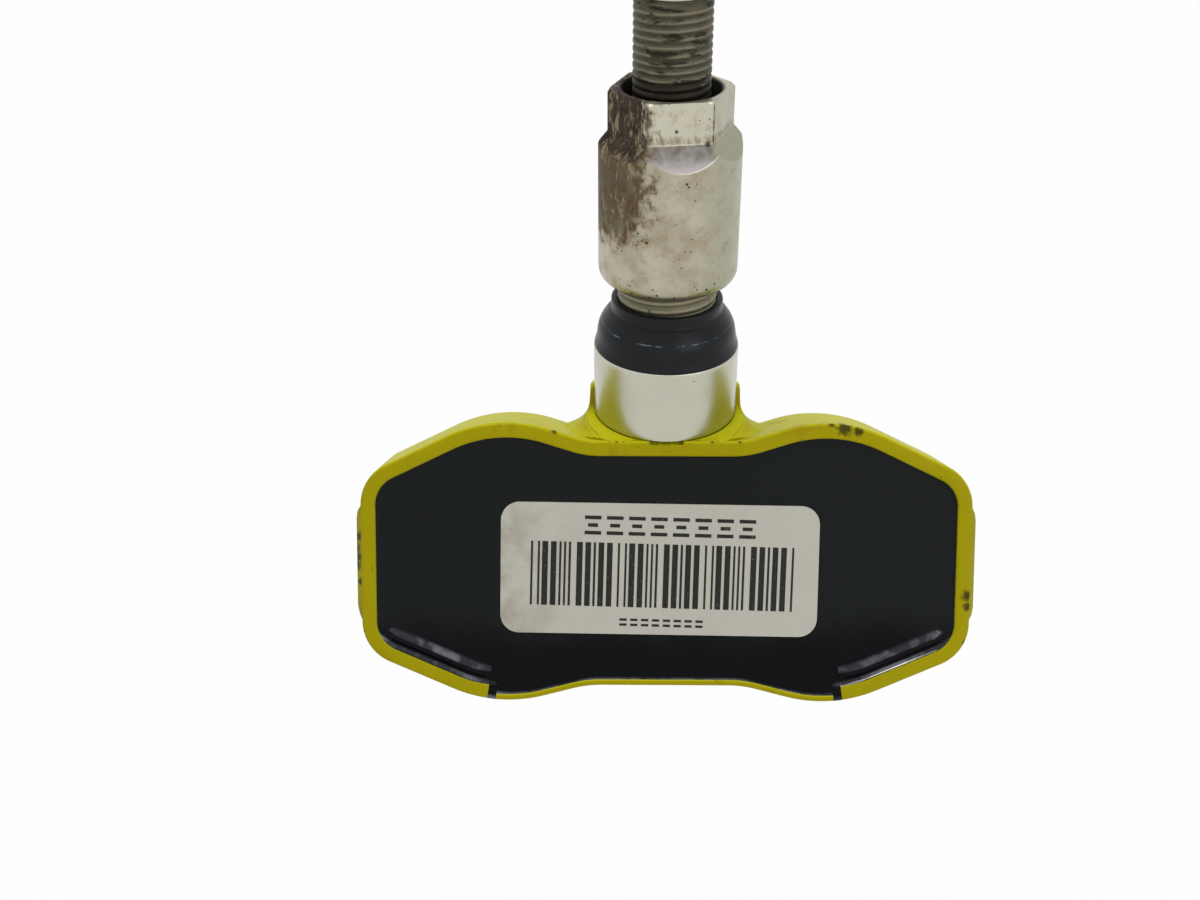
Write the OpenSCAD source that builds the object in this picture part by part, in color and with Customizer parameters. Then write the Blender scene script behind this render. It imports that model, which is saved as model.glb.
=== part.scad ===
// Tyre pressure sensor for a car wheel: a moulded tray of electronics, potted and
// labelled on its face, carried on a turned clamp-in valve with a rubber grommet and a
// long nut. Millimetres. +Z runs along the valve stem and leaves the wheel outwards.
// The origin is on the stem axis at the foot of the grommet's neck, where the wheel's
// wall sits. The potted face of the tray looks towards -Y.

/* [Tray] */
// Width of the tray without its side pads
tray_w = 64.8; // [62:0.2:68]
// Height from the lower waist of the outline to the upper waist
tray_h = 26.4; // [25.5:0.1:28]
// Depth of the tray from rim to back
tray_d = 15.4; // [15:0.1:17]
// Width of the thick rim
rim_w = 1.6; // [1.2:0.1:2]
// Width of the thin lip along the lower waist
lip_w = 0.65; // [0.5:0.05:1]
// Depth of the thin lip under the rim
lip_d = 5; // [3:0.5:7]
// Thickness of the tray's back wall
back_wall = 1.6; // [1.2:0.1:2]
// Rounding of the edge between side walls and back
back_round = 4; // [2:0.1:4]
// How far the side pads stand out
pad_out = 0.6; // [0.3:0.1:1]
// Length of the side pads
pad_len = 10.6; // [8:0.1:13]
// Width of the two overflow slots in the lower rim
slot_w = 0.95; // [0.6:0.05:1.4]
// Depth of the overflow slots
slot_d = 1.8; // [1:0.1:3]
// Distance of each overflow slot from the middle
slot_x = 18.6; // [16:0.1:20]

/* [Outline] */
// Distance of the waist's end from the tray's side
waist_in = 24.1; // [22:0.1:26]
// Distance of the lobes' corner from the tray's side
lobe_in = 14.4; // [12:0.1:16]
// Height of the upper lobe's corner over the upper waist
upper_lobe = 3; // [2:0.1:3.6]
// Depth of the lower lobe's corner under the lower waist
lower_lobe = 2.5; // [1.8:0.1:3]
// Distance of the side's upper corner below the upper waist
upper_side = 3.9; // [3:0.1:5]
// Distance of the side's lower corner above the lower waist
lower_side = 3.7; // [3:0.1:5]
// Rounding of the lobes
lobe_r = 15; // [12:0.5:16]
// Rounding of the side corners
side_r = 4.8; // [4.4:0.1:5.4]
// Rounding of the turn from the lower waist to a lobe
lower_waist_r = 12; // [8:0.5:14]
// Rounding of the turn from the upper waist to a lobe
upper_waist_r = 9; // [8:0.5:14]

/* [Valve] */
// Angle between the stem and the face of the tray
tilt = 23.5; // [22:0.5:25]
// Radius of the stem's polished collar
collar_r = 7.7; // [7.4:0.05:8]
// Height of the collar
collar_h = 8; // [7:0.1:9]
// Radius of the threaded shank that the nut screws on
shank_r = 5.2; // [5:0.05:5.5]
// Top of the shank above the seat
shank_top = 13.8; // [12:0.1:15]
// Radius of the cap thread, 7.75 mm over its crests
cap_r = 3.875; // [3.8:0.005:3.95]
// Top of the cap thread above the seat
cap_top = 32.45; // [31:0.05:34]
// Length of the plain tip over the cap thread
tip_h = 1.6; // [1:0.1:2]
// Radius of the plain tip
tip_r = 3.4; // [3.2:0.05:3.6]
// Radius of the air bore
air_r = 1.6; // [1.2:0.1:1.7]
// Radius of the air hole in the back of the collar
vent_r = 1.25; // [0.8:0.05:1.5]
// Radius of the moulded-in tail
tail_r = 4.2; // [3.6:0.1:4.6]
// Length of the moulded-in tail
tail_h = 3.6; // [3:0.1:3.8]

/* [Grommet] */
// Height of the grommet below the seat
grommet_h = 4.2; // [3.8:0.1:4.6]
// Radius of the grommet's flange at its foot
flange_r = 7.68; // [7.3:0.02:7.9]
// Radius of the neck that fills the wheel's hole
neck_r = 5.85; // [5.7:0.05:6]
// Height of the neck above the seat
neck_h = 1.3; // [1:0.1:1.8]

/* [Nut] */
// Gap between the grommet's neck and the loosened nut
nut_gap = 2.1; // [1.9:0.1:3]
// Length of the nut
nut_h = 20.25; // [19:0.05:21]
// Radius of the nut's round body
nut_r = 7.22; // [7:0.02:7.4]
// Spanner size of the nut's hexagon
nut_af = 11; // [10.6:0.1:11.4]
// Turn of the hexagon about the stem
nut_turn = 8.7; // [0:0.1:30]
// Height of the flats, down to where they start to run out
flat_h = 4.1; // [3.5:0.1:5]
// Height of the slope in which the flats run out
runout_h = 2.35; // [2:0.05:2.8]
// Radius of the nut's mouth round the cap thread
mouth_r = 4.92; // [4.6:0.02:5]
// Depth of the nut's mouth
mouth_h = 7; // [5:0.1:8]
// Rounding of the nut's lower edge
nut_round = 1.5; // [1:0.1:1.8]

/* [Label] */
// Width of the label
label_w = 33.8; // [30:0.1:36]
// Height of the label
label_h = 14.15; // [12:0.05:16]
// Corner radius of the label
label_r = 2; // [1:0.1:3]
// Thickness of the label
label_t = 0.12; // [0.08:0.01:0.2]
// Shift of the label's middle along the tray
label_x = -0.65; // [-2:0.05:2]
// Shift of the label's middle up the face
label_y = -0.55; // [-2:0.05:2]
// Turn of the label on the face
label_turn = -0.7; // [-2:0.1:2]

/* [Electronics] */
// Gap between the lithium cell and the height of the tray's waist
cell_gap = 0.95; // [0.9:0.05:2]
// Thickness of the lithium cell
cell_h = 5; // [4:0.1:5]
// Distance of the cell's middle from the tray's side
cell_in = 15.8; // [15.4:0.1:16.4]
// Thickness of the circuit board
board_t = 1; // [0.8:0.1:1.2]
// Depth of the board's upper face under the rim
board_z = 6.6; // [6.6:0.1:7]
// Thickness of the contact tabs
tab_t = 0.2; // [0.15:0.05:0.25]
// Radius of the pressure port in the tray's back
port_r = 0.9; // [0.6:0.05:1.2]

/* [Valve core] */
// Radius of the core's screwed head
core_r = 2.56; // [2.5:0.01:2.58]
// Radius of the core's pin
pin_r = 0.5; // [0.4:0.02:0.54]
// Travel of the pin
pin_travel = 1.2; // [0.8:0.1:1.4]
// Radius of the spring wire
wire_r = 0.11; // [0.09:0.01:0.13]
// Turns of the spring
spring_turns = 7; // [5:1:8]

/* [Hidden] */

$fn = 96;
eps = 0.01;        // overlap of a cut with what it cuts
run = 0.05;        // radial clearance of a running fit
seat = 0.02;       // clearance of pieces that are moulded or pushed on
arc_steps = 5;     // points on each rounded corner of the outline
fill_down = 0.3;   // potting surface under the rim
post_r = 1.6;      // posts that carry the board
peg_r = 0.6;       // pegs of the posts through the board
peg_over = 0.4;    // height of the pegs over the board
post_sunk = 0.5;   // depth of the posts' roots in the tray's back
post_in = 4.1;     // the posts' distance from the tray's sides
post_x = tray_w / 2 - post_in;
post_y = 0.273 * tray_h;
cell_r = tray_h / 2 - cell_gap;
cell_x = tray_w / 2 - cell_in;
waist_x = tray_w / 2 - waist_in;
lobe_x = tray_w / 2 - lobe_in;

// Heights on the stem
collar_top = -grommet_h;
collar_bottom = collar_top - collar_h;
neck_top = neck_h;
nut_bottom = neck_top + nut_gap;
nut_top = nut_bottom + nut_h;
tip_top = cap_top + tip_h;

// The cradle that grips the foot of the collar, thicker towards its foot
ear_r = collar_r + 0.4;
cradle_r = collar_r + 0.5;
cradle_top = collar_top - 5.2;
cradle_fall = 17;      // slope of its upper edge towards the back
skirt_top = collar_top - 7.3;
skirt_round = 1.9;     // radius of the skirt's hollow sweep
skirt_sweep = 60;      // angle of the sweep, and of the slope that it ends in
skirt_reach = 2.9;     // how far the skirt stands out at its foot
skirt_end = 50;        // where it dies out, measured from the side towards the back
cradle_foot = collar_bottom - 12;
ear_front = -0.4;      // front edge of the ears beside the collar
ear_round = 0.8;
foot_front = -1.6;     // where the cradle's foot turns up into the ears
foot_rise = 0.3;
foot_gap = 0.25;       // hollow in the rim under the collar's front
gap_half = 1.75;
trim = 0.12;           // the cradle stays this much behind the rim and inside the back
rim_step = 0.1;        // rim's plane in front of the collar

// The tray's own frame: X across, Y up the face, Z out of the face, rim at Z = 0
waist_top = 0.2;
waist_bottom = waist_top - tray_h;
tray_mid = (waist_top + waist_bottom) / 2;
floor_z = tray_d - back_wall;
post_places = [for (x = [-post_x, post_x]) for (y = [-post_y, post_y]) [x, tray_mid + y]];

module on_tray() {
    translate([0, -(collar_r + rim_step), collar_bottom])
        rotate([90 - tilt, 0, 0]) children();
}

// Corners of the tray's outline, counter-clockwise, each [x, y, radius]
half_outline = [
    [waist_x, waist_bottom, lower_waist_r],
    [lobe_x, waist_bottom - lower_lobe, lobe_r],
    [tray_w / 2, waist_bottom + lower_side, side_r],
    [tray_w / 2, waist_top - upper_side, side_r],
    [lobe_x, waist_top + upper_lobe, lobe_r],
    [waist_x, waist_top, upper_waist_r]];
corners = concat(half_outline,
    [for (i = [len(half_outline) - 1:-1:0])
        [-half_outline[i][0], half_outline[i][1], half_outline[i][2]]]);

function unit(v) = v / norm(v);
function outward(a, b) = let (d = unit(b - a)) [d[1], -d[0]];
function flat(p) = [p[0], p[1]];

// The outline, grown by g all round, with its corners rounded by arcs
function outline(g) = [
    for (i = [0:len(corners) - 1])
        let (
            n = len(corners),
            p = flat(corners[i]),
            n1 = outward(flat(corners[(i + n - 1) % n]), p),
            n2 = outward(p, flat(corners[(i + 1) % n])),
            turn = asin(n1[0] * n2[1] - n1[1] * n2[0]),
            side = turn > 0 ? 1 : -1,
            r = corners[i][2] + side * g,
            v = p + g * (n1 + n2) / (1 + n1 * n2),
            c = v - side * r * (n1 + n2) / (1 + n1 * n2),
            a1 = atan2(n1[1], n1[0]))
        for (k = [0:arc_steps])
            let (a = a1 + turn * k / arc_steps)
                c + side * r * [cos(a), sin(a)]];

// A closed skin over rings of equally many points, lowest ring first
module loft(rings) {
    n = len(rings[0]);
    m = len(rings);
    sides = [for (j = [0:m - 2]) for (i = [0:n - 1])
        [j * n + i, (j + 1) * n + i, (j + 1) * n + (i + 1) % n, j * n + (i + 1) % n]];
    polyhedron([for (r = rings) each r],
        concat(sides, [[for (i = [0:n - 1]) i]],
            [[for (i = [n - 1:-1:0]) (m - 1) * n + i]]), convexity = 6);
}

// Tray body with a rounded back edge
module tray_block() {
    steps = 4;
    rounded = [for (k = [0:steps])
        let (a = 90 * k / steps)
            ring(-back_round * (1 - sin(a)), -tray_d + back_round * (1 - cos(a)))];
    loft(concat(rounded, [ring(0, -tray_d + back_round + eps)]));
    translate([0, 0, -tray_d + back_round])
        linear_extrude(tray_d - back_round) polygon(outline(0));
}
function ring(g, z) = [for (p = outline(g)) [p[0], p[1], z]];

// Room of the tray, from the top z down to the floor, wider behind the thin lip
module tray_room(top) {
    translate([0, 0, -floor_z]) linear_extrude(floor_z + top) polygon(outline(-rim_w));
    translate([0, 0, -lip_d]) linear_extrude(lip_d + top)
        intersection() {
            polygon(outline(-lip_w));
            translate([-slot_x, waist_bottom - 10]) square([2 * slot_x, 10 + 2 * rim_w]);
        }
}

// The two overflow slots across the lower rim, from the depth slot_d up to the height z
module rim_slots(z) {
    for (s = [-1, 1])
        translate([s * slot_x - slot_w / 2, waist_bottom - lower_lobe - 2, -slot_d])
            cube([slot_w, lower_lobe + 2 + rim_w, slot_d + z]);
}

// Cradle round the collar, on a skirt that sweeps down into the tray's upper wall
module cradle() {
    steps = 5;
    spare = 0.5;    // cut away again by the cradle's falling edge
    sweep_r = cradle_r + skirt_round * (1 - cos(skirt_sweep));
    slope_end = skirt_top - skirt_round * sin(skirt_sweep)
        - (cradle_r + skirt_reach - sweep_r) / tan(skirt_sweep);
    difference() {
        rotate_extrude() polygon(concat(
            [[0, cradle_foot], [cradle_r + skirt_reach, cradle_foot],
                [cradle_r + skirt_reach, slope_end]],
            [for (k = [steps:-1:0]) let (a = skirt_sweep * k / steps)
                [cradle_r + skirt_round * (1 - cos(a)), skirt_top - skirt_round * sin(a)]],
            [[ear_r, cradle_top + spare], [0, cradle_top + spare]]));
        cradle_front();
        skirt_back();
    }
}

// The skirt ends at each side on a plane that touches the round of the cradle behind
module skirt_back() {
    touch = (cradle_r - 0.05) * [cos(skirt_end), sin(skirt_end)];
    far = 3 * cradle_r;
    side = touch + far * [sin(skirt_end), -cos(skirt_end)];
    translate([0, 0, cradle_foot - 1]) linear_extrude(collar_top - cradle_foot)
        difference() {
            polygon([[-side[0], side[1]], [-touch[0], touch[1]], touch, side,
                [side[0], far], [-side[0], far]]);
            circle(cradle_r);
        }
}

// Room in front of the collar and over the cradle: its edge turns up at each side into a
// rounded ear and falls from there towards the back
module cradle_front() {
    steps = 4;
    low = collar_bottom - foot_gap;
    far = 2 * cradle_r;
    rotate([90, 0, 90]) translate([0, 0, -far]) linear_extrude(2 * far)
        polygon(concat(
            [[-far, cradle_top + 1], [-far, low], [-cradle_r, low]],
            [for (k = [0:steps]) let (a = 90 * k / steps)
                [foot_front + (ear_front - foot_front) * sin(a),
                    low + foot_rise + (ear_front - foot_front) * (1 - cos(a))]],
            [for (k = [0:steps]) let (a = 90 * k / steps)
                [ear_front + ear_round * (1 - cos(a)), cradle_top - ear_round * (1 - sin(a))]],
            [[far, cradle_top - (far - ear_front - ear_round) * tan(cradle_fall)],
                [far, cradle_top + 1]]));
}

// Space between the rim's plane and the tray's back, where the cradle is kept
module tray_slab() {
    on_tray() translate([-tray_w, -2 * tray_h, -tray_d + trim])
        cube([2 * tray_w, 3 * tray_h, tray_d - 2 * trim]);
}

module board_posts() {
    for (p = post_places)
        translate([p[0], p[1], -floor_z - post_sunk]) {
            cylinder(r = post_r, h = floor_z + post_sunk - board_z - board_t);
            cylinder(r = peg_r, h = floor_z + post_sunk - board_z + peg_over);
        }
}

module side_pads() {
    root = 1;
    for (s = [-1, 1]) scale([s, 1, 1])
        translate([tray_w / 2, tray_mid, -tray_d + back_round])
            linear_extrude(tray_d - back_round - 0.4)
                polygon([[-root, -pad_len / 2 - 1], [0, -pad_len / 2 - 1], [pad_out, -pad_len / 2],
                    [pad_out, pad_len / 2], [0, pad_len / 2 + 1], [-root, pad_len / 2 + 1]]);
}

module housing() {
    color("#c3bd17") difference() {
        union() {
            difference() {
                union() {
                    on_tray() tray_block();
                    intersection() {
                        cradle();
                        tray_slab();
                    }
                    on_tray() side_pads();
                }
                on_tray() tray_room(1);
            }
            on_tray() board_posts();
        }
        on_tray() rim_slots(1);
        // seat of the collar, with a hollow where it breaks through the rim
        translate([0, 0, collar_bottom]) cylinder(r = collar_r + seat, h = collar_h);
        translate([-gap_half, -2 * collar_r, collar_bottom - foot_gap])
            cube([2 * gap_half, 1.4 * collar_r, collar_h]);
        stem_tail(seat);
        // pressure port through the back
        on_tray() translate([port_x, tray_mid, -tray_d - 1]) {
            cylinder(r = port_r, h = back_wall + 2);
            cylinder(r = port_dish_r, h = 1.5);
        }
    }
}

// Tail of the stem with two anchoring grooves, grown by g for its seat in the tray
module stem_tail(g) {
    groove = 0.6;
    edge = 0.3;
    pitch = 1.5;
    rotate_extrude() polygon(concat(
        [[0, collar_bottom + eps], [tail_r + g, collar_bottom + eps]],
        [for (k = [0:1]) let (top = collar_bottom - groove - k * pitch)
            each [[tail_r + g, top + g], [tail_r - groove + g, top - edge + g],
                [tail_r - groove + g, top - edge - groove - g],
                [tail_r + g, top - 2 * edge - groove - g]]],
        [[tail_r + g, collar_bottom - tail_h - g], [0, collar_bottom - tail_h - g]]));
}

module potting() {
    color("#151515") difference() {
        on_tray() union() {
            tray_room(-fill_down);
            intersection() {
                rim_slots(-fill_down);
                translate([0, 0, -tray_d]) linear_extrude(tray_d) polygon(outline(-seat));
            }
        }
        on_tray() board_posts();
        circuit_board();
        battery_cell();
        battery_tab_positive();
        battery_tab_negative();
        pressure_sensor_chip();
        on_tray() translate([port_x, tray_mid, -floor_z]) {
            cylinder(r = seal_r, h = floor_z - board_z - board_t - chip_h);
            cylinder(r = port_r, h = floor_z - board_z - board_t - chip_h + port_pit);
        }
        transmitter_chip();
        motion_switch();
        quartz_crystal();
        lf_coil();
        loop_antenna();
        capacitors();
        resistors();
    }
}

module label() {
    color("#cfd0c8") on_tray()
        translate([label_x, tray_mid + label_y, -fill_down]) rotate([0, 0, label_turn])
            linear_extrude(label_t)
                rounded_rect(label_w, label_h, label_r);
}

module rounded_rect(w, h, r) {
    square([w - 2 * r, h], center = true);
    square([w, h - 2 * r], center = true);
    for (x = [-1, 1]) for (y = [-1, 1])
        translate([x * (w / 2 - r), y * (h / 2 - r)]) circle(r);
}

module circuit_board() {
    color("#1f5a34") on_tray() difference() {
        translate([0, 0, -board_z - board_t]) linear_extrude(board_t) polygon(outline(-rim_w - 0.6));
        for (p = post_places)
            translate([p[0], p[1], -board_z - board_t - 1]) cylinder(r = peg_r + run, h = board_t + 2);
    }
}

// Crimped coin cell, its smaller negative cap towards the board
module battery_cell() {
    color("#b9bcbd") on_tray() translate([-cell_x, tray_mid, -board_z + tab_t])
        rotate_extrude()
            polygon([[0, 0], [cell_r - 2, 0], [cell_r - 1.6, 0.5], [cell_r - 0.5, 0.8],
                [cell_r, 1.3], [cell_r, cell_h - 0.4], [cell_r - 0.4, cell_h], [0, cell_h]]);
}

module battery_tab_negative() {
    color("#c9c9c4") on_tray() translate([-cell_x, tray_mid - 2, -board_z])
        cube([cell_r + 2.6, 4, tab_t]);
}

// Strap from the top of the cell, down past its edge to the board
module battery_tab_positive() {
    top = cell_h + tab_t;
    color("#c9c9c4") on_tray() translate([-cell_x, tray_mid + 3.5, -board_z]) {
        translate([cell_r - 7, 0, top]) cube([7.4 + tab_t, 3, tab_t]);
        translate([cell_r + 0.4, 0, 0]) cube([tab_t, 3, top + tab_t]);
        translate([cell_r + 0.4, 0, 0]) cube([2.4, 3, tab_t]);
    }
}

// Moulded chip on the back of the board, with legs along both long sides
module leaded_chip(w, l, h, legs, pitch) {
    leg = 0.4 * pitch;
    translate([-w / 2, -l / 2, -h]) cube([w, l, h - 0.15]);
    for (s = [-1, 1]) for (i = [0:legs - 1])
        translate([s * (w / 2 + 0.5) - 0.55, (i - (legs - 1) / 2) * pitch - leg / 2, -h / 2 - 0.1]) {
            cube([1.1, leg, 0.2]);
            translate([s > 0 ? 0.9 : 0, 0, 0]) cube([0.2, leg, h / 2 + 0.1]);
        }
}

chip_h = 3.2;
port_pit = 0.8;
port_x = 0.155 * tray_w;
port_dish_r = port_r + 1.4;
seal_r = 2.3;

module pressure_sensor_chip() {
    color("#2a2a2c") on_tray() translate([port_x, tray_mid, -board_z - board_t]) difference() {
        leaded_chip(5.6, 7.2, chip_h, 4, 1.27);
        translate([0, 0, -chip_h - 1]) cylinder(r = port_r, h = 1 + port_pit);
    }
}

// Silicone sleeve that carries the port through the potting
module port_seal() {
    color("#8f3a2c") on_tray() translate([port_x, tray_mid, -floor_z]) difference() {
        cylinder(r = seal_r, h = floor_z - board_z - board_t - chip_h);
        translate([0, 0, -1]) cylinder(r = port_r, h = floor_z);
    }
}

module transmitter_chip() {
    color("#222224") on_tray() translate([0.325 * tray_w, tray_mid, -board_z - board_t])
        leaded_chip(4.4, 6.6, 1.9, 8, 0.65);
}

module motion_switch() {
    color("#a9a79c") on_tray() translate([0, tray_mid + 0.19 * tray_h, -board_z - board_t - 3.6])
        cylinder(r = 2.2, h = 3.6);
}

module quartz_crystal() {
    color("#b7b39f") on_tray() translate([0, tray_mid - 0.19 * tray_h, -board_z - board_t]) {
        translate([-2.5, -1.6, -0.7]) cube([5, 3.2, 0.7]);
        translate([-2.2, -1.3, -1.3]) cube([4.4, 2.6, 0.7]);
    }
}

// Low-frequency coil: a wound ferrite bar between two end blocks
module lf_coil() {
    bar = 9.2;
    block = [1.4, 3, 3];
    color("#6b3a1e") on_tray()
        translate([0.25 * tray_w, tray_mid - 0.3 * tray_h, -board_z - board_t - block[2] / 2]) {
            translate([-bar / 2, 0, 0]) rotate([0, 90, 0]) cylinder(r = 1.2, h = bar);
            for (s = [-1, 1])
                translate([s * (bar / 2 + 0.3), 0, 0]) cube(block, center = true);
        }
}

// Stamped bow of tinned strip over the face side of the board
module loop_antenna() {
    rise = board_z - 2.4;
    strip = 0.5;
    broad = 1.4;
    span = 0.34 * tray_w;
    depth = 0.45 * tray_h;
    color("#b87a4a") on_tray() translate([0.06 * tray_w, tray_mid + 0.23 * tray_h, -board_z]) {
        cube([strip, broad, rise]);
        translate([span - strip, 0, 0]) cube([strip, broad, rise]);
        translate([0, 0, rise - strip]) cube([span, broad, strip]);
        translate([(span - strip) / 2, -depth, rise - strip]) cube([strip, depth + broad / 2, strip]);
        translate([(span - strip) / 2, -depth, 0]) cube([strip, broad, rise]);
    }
}

// A row of six small parts on the back of the board, at the height y of the tray
module small_parts(y, part_h) {
    for (i = [0:5])
        translate([(0.037 * i - 0.216) * tray_w, tray_mid + y, -board_z - board_t - part_h])
            cube([0.9, 1.7, part_h]);
}

module capacitors() {
    color("#a08a5e") on_tray() small_parts(-0.355 * tray_h, 0.8);
}

module resistors() {
    color("#303036") on_tray() small_parts(0.28 * tray_h, 0.5);
}

// Chamber of the valve core in the tip of the stem
chamber_r = 2.6;
chamber_h = 5.4;
seal_cone_h = 1.2;
throat_r = 1.95;
throat_h = 5.6;
cone_top = tip_top - chamber_h;
cone_bottom = cone_top - seal_cone_h;
throat_bottom = cone_bottom - throat_h;
air_bottom = collar_top - collar_h / 2;
vent_z = collar_top - 2.4;
relief = 0.5;       // depth of the undercut under the cap thread
break_edge = 0.15;  // broken edges of the collar

module valve_stem() {
    color("#b9b7ae") difference() {
        union() {
            rotate_extrude() polygon([
                [0, collar_bottom], [collar_r - break_edge, collar_bottom],
                [collar_r, collar_bottom + break_edge], [collar_r, collar_top - break_edge],
                [collar_r - break_edge, collar_top], [shank_r, collar_top],
                [shank_r, shank_top - 0.8], [shank_r - 0.8, shank_top],
                [cap_r - relief, shank_top], [cap_r - relief, shank_top + 1.2],
                [cap_r, shank_top + 1.2 + relief], [cap_r, cap_top - 0.4],
                [tip_r, cap_top], [tip_r, tip_top - 0.5], [tip_r - 0.5, tip_top],
                [0, tip_top]]);
            stem_tail(0);
        }
        rotate_extrude() polygon([
            [0, tip_top + 1], [chamber_r + 1.3, tip_top + 1], [chamber_r, tip_top - 0.3],
            [chamber_r, cone_top], [throat_r, cone_bottom], [throat_r, throat_bottom],
            [air_r, throat_bottom - 0.6], [air_r, air_bottom + 0.8], [0, air_bottom]]);
        // air hole in the back of the collar, clear of the cradle
        translate([0, 0, vent_z]) rotate([-90, 0, 0]) cylinder(r = vent_r, h = collar_r + 1);
    }
}

// Rubber grommet: flange on the collar, round shoulder, neck into the wheel's hole
module grommet() {
    edge_r = flange_r - 0.68;   // edge between the shoulder's cone and the side
    edge_z = -1.35;
    side_z = edge_z - 0.95;
    color("#1d1e1f") rotate_extrude() polygon([
        [shank_r + seat, collar_top], [flange_r, collar_top], [flange_r, collar_top + 0.15],
        [edge_r + 0.4, collar_top + 1], [edge_r + 0.3, side_z],
        [edge_r + 0.18, (edge_z + side_z) / 2 + 0.05], [edge_r, edge_z],
        [(edge_r + neck_r) / 2 + 0.08, edge_z / 2 + 0.05], [neck_r + 0.25, -0.12],
        [neck_r, -0.02], [neck_r, neck_top - 0.2], [neck_r - 0.2, neck_top],
        [shank_r + seat, neck_top]]);
}

module nut() {
    flats = 6;
    flat_foot = nut_top - flat_h;
    runout_angle = atan2(runout_h, nut_r - nut_af / 2);
    bore_r = shank_r + run;
    edge = 0.3;
    color("#9a938a") difference() {
        rotate_extrude() polygon(concat(
            [[bore_r + edge, nut_bottom]],
            [for (k = [0:6]) let (a = 90 * k / 6)
                [nut_r - nut_round + nut_round * sin(a), nut_bottom + nut_round * (1 - cos(a))]],
            [[nut_r, nut_top - 1], [mouth_r + 1.15, nut_top],
                [mouth_r + 0.2, nut_top], [mouth_r, nut_top - 0.2],
                [mouth_r, nut_top - mouth_h], [bore_r, nut_top - mouth_h - edge],
                [bore_r, nut_bottom + edge]]));
        for (i = [0:flats - 1]) rotate([0, 0, nut_turn + 360 * i / flats - 90]) {
            // flat, then its sloping run-out
            translate([nut_af / 2, -nut_r, flat_foot]) cube([nut_r, 2 * nut_r, flat_h + 1]);
            translate([nut_af / 2, -nut_r, flat_foot]) rotate([0, runout_angle, 0])
                translate([0, 0, -eps]) cube([nut_r, 2 * nut_r, nut_h]);
        }
    }
}

// Valve core
head_top = tip_top - 0.8;
head_h = 3.8;
barrel_r = 1.7;
barrel_bottom = throat_bottom + pin_travel + 0.7;
shelf_z = barrel_bottom + 0.8;
cup_z = barrel_bottom - 0.72;
cup_r = 1.45;
cup_wall = 0.1;
spring_bore = 1.15;
spanner_slot = [1.9, 1.7];   // width and depth of the slots that leave a bridge
bridge_w = 1.6;
bead_z = head_top - 2.6;
bead_r = 0.95;

module core_barrel() {
    color("#b08d3c") difference() {
        rotate_extrude() polygon([
            [0, barrel_bottom], [barrel_r, barrel_bottom], [barrel_r, head_top - head_h - 0.3],
            [core_r - 0.3, head_top - head_h], [core_r, head_top - head_h + 0.3],
            [core_r, head_top - 0.3], [core_r - 0.3, head_top], [0, head_top]]);
        translate([0, 0, barrel_bottom - 1]) cylinder(r = 0.8, h = 3);
        translate([0, 0, shelf_z]) cylinder(r = spring_bore, h = head_top - 1.6 - shelf_z);
        translate([0, 0, shelf_z]) cylinder(r = pin_r + run, h = head_top);
        for (s = [-1, 1])
            translate([s * (bridge_w + spanner_slot[0]) / 2 - spanner_slot[0] / 2, -chamber_r,
                head_top - spanner_slot[1]])
                cube([spanner_slot[0], 2 * chamber_r, 2 * spanner_slot[1]]);
    }
}

module core_barrel_seal() {
    color("#d8d6cc") rotate_extrude() polygon([
        [barrel_r + seat, cone_bottom + 0.15], [throat_r + 0.06, cone_bottom + 0.15],
        [chamber_r - 0.08, cone_top], [barrel_r + seat, cone_top]]);
}

module core_pin() {
    color("#c9a24a") rotate_extrude() polygon([
        [0, cup_z - 0.9], [cup_r - 0.25, cup_z - 0.9], [cup_r, cup_z - 0.6], [cup_r, cup_z + 0.3],
        [cup_r - cup_wall, cup_z + 0.3], [cup_r - cup_wall, cup_z], [pin_r, cup_z], [pin_r, bead_z],
        [bead_r, bead_z], [bead_r, bead_z + 0.3], [pin_r, bead_z + 0.6],
        [pin_r, tip_top - 0.45], [pin_r - 0.15, tip_top - 0.3], [0, tip_top - 0.3]]);
}

module core_cup_seal() {
    seal_out = cup_r - cup_wall - seat;
    color("#202020") rotate_extrude() polygon([
        [pin_r + seat, cup_z + seat], [seal_out, cup_z + seat],
        [seal_out, barrel_bottom - 0.03], [pin_r + seat, barrel_bottom - 0.03]]);
}

// Wire swept along a helix between the barrel's shelf and the pin's bead
module core_spring() {
    mean_r = (pin_r + spring_bore) / 2;
    around = 12;
    sides = 6;
    low = shelf_z + wire_r + 0.02;
    high = bead_z - wire_r - 0.02;
    count = spring_turns * around;
    color("#8d9094") loft([for (j = [0:count])
        let (a = 360 * j / around, z = low + (high - low) * j / count)
            [for (i = [0:sides - 1])
                let (b = -360 * i / sides, r = mean_r + wire_r * cos(b))
                    [r * cos(a), r * sin(a), z + wire_r * sin(b)]]]);
}

housing();
potting();
label();
circuit_board();
battery_cell();
battery_tab_positive();
battery_tab_negative();
pressure_sensor_chip();
port_seal();
transmitter_chip();
motion_switch();
quartz_crystal();
lf_coil();
loop_antenna();
capacitors();
resistors();
valve_stem();
grommet();
nut();
core_barrel();
core_barrel_seal();
core_pin();
core_cup_seal();
core_spring();
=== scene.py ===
import math
import bmesh
import bpy
import numpy as np
from mathutils import Matrix, Vector
from mathutils.geometry import tessellate_polygon


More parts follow.
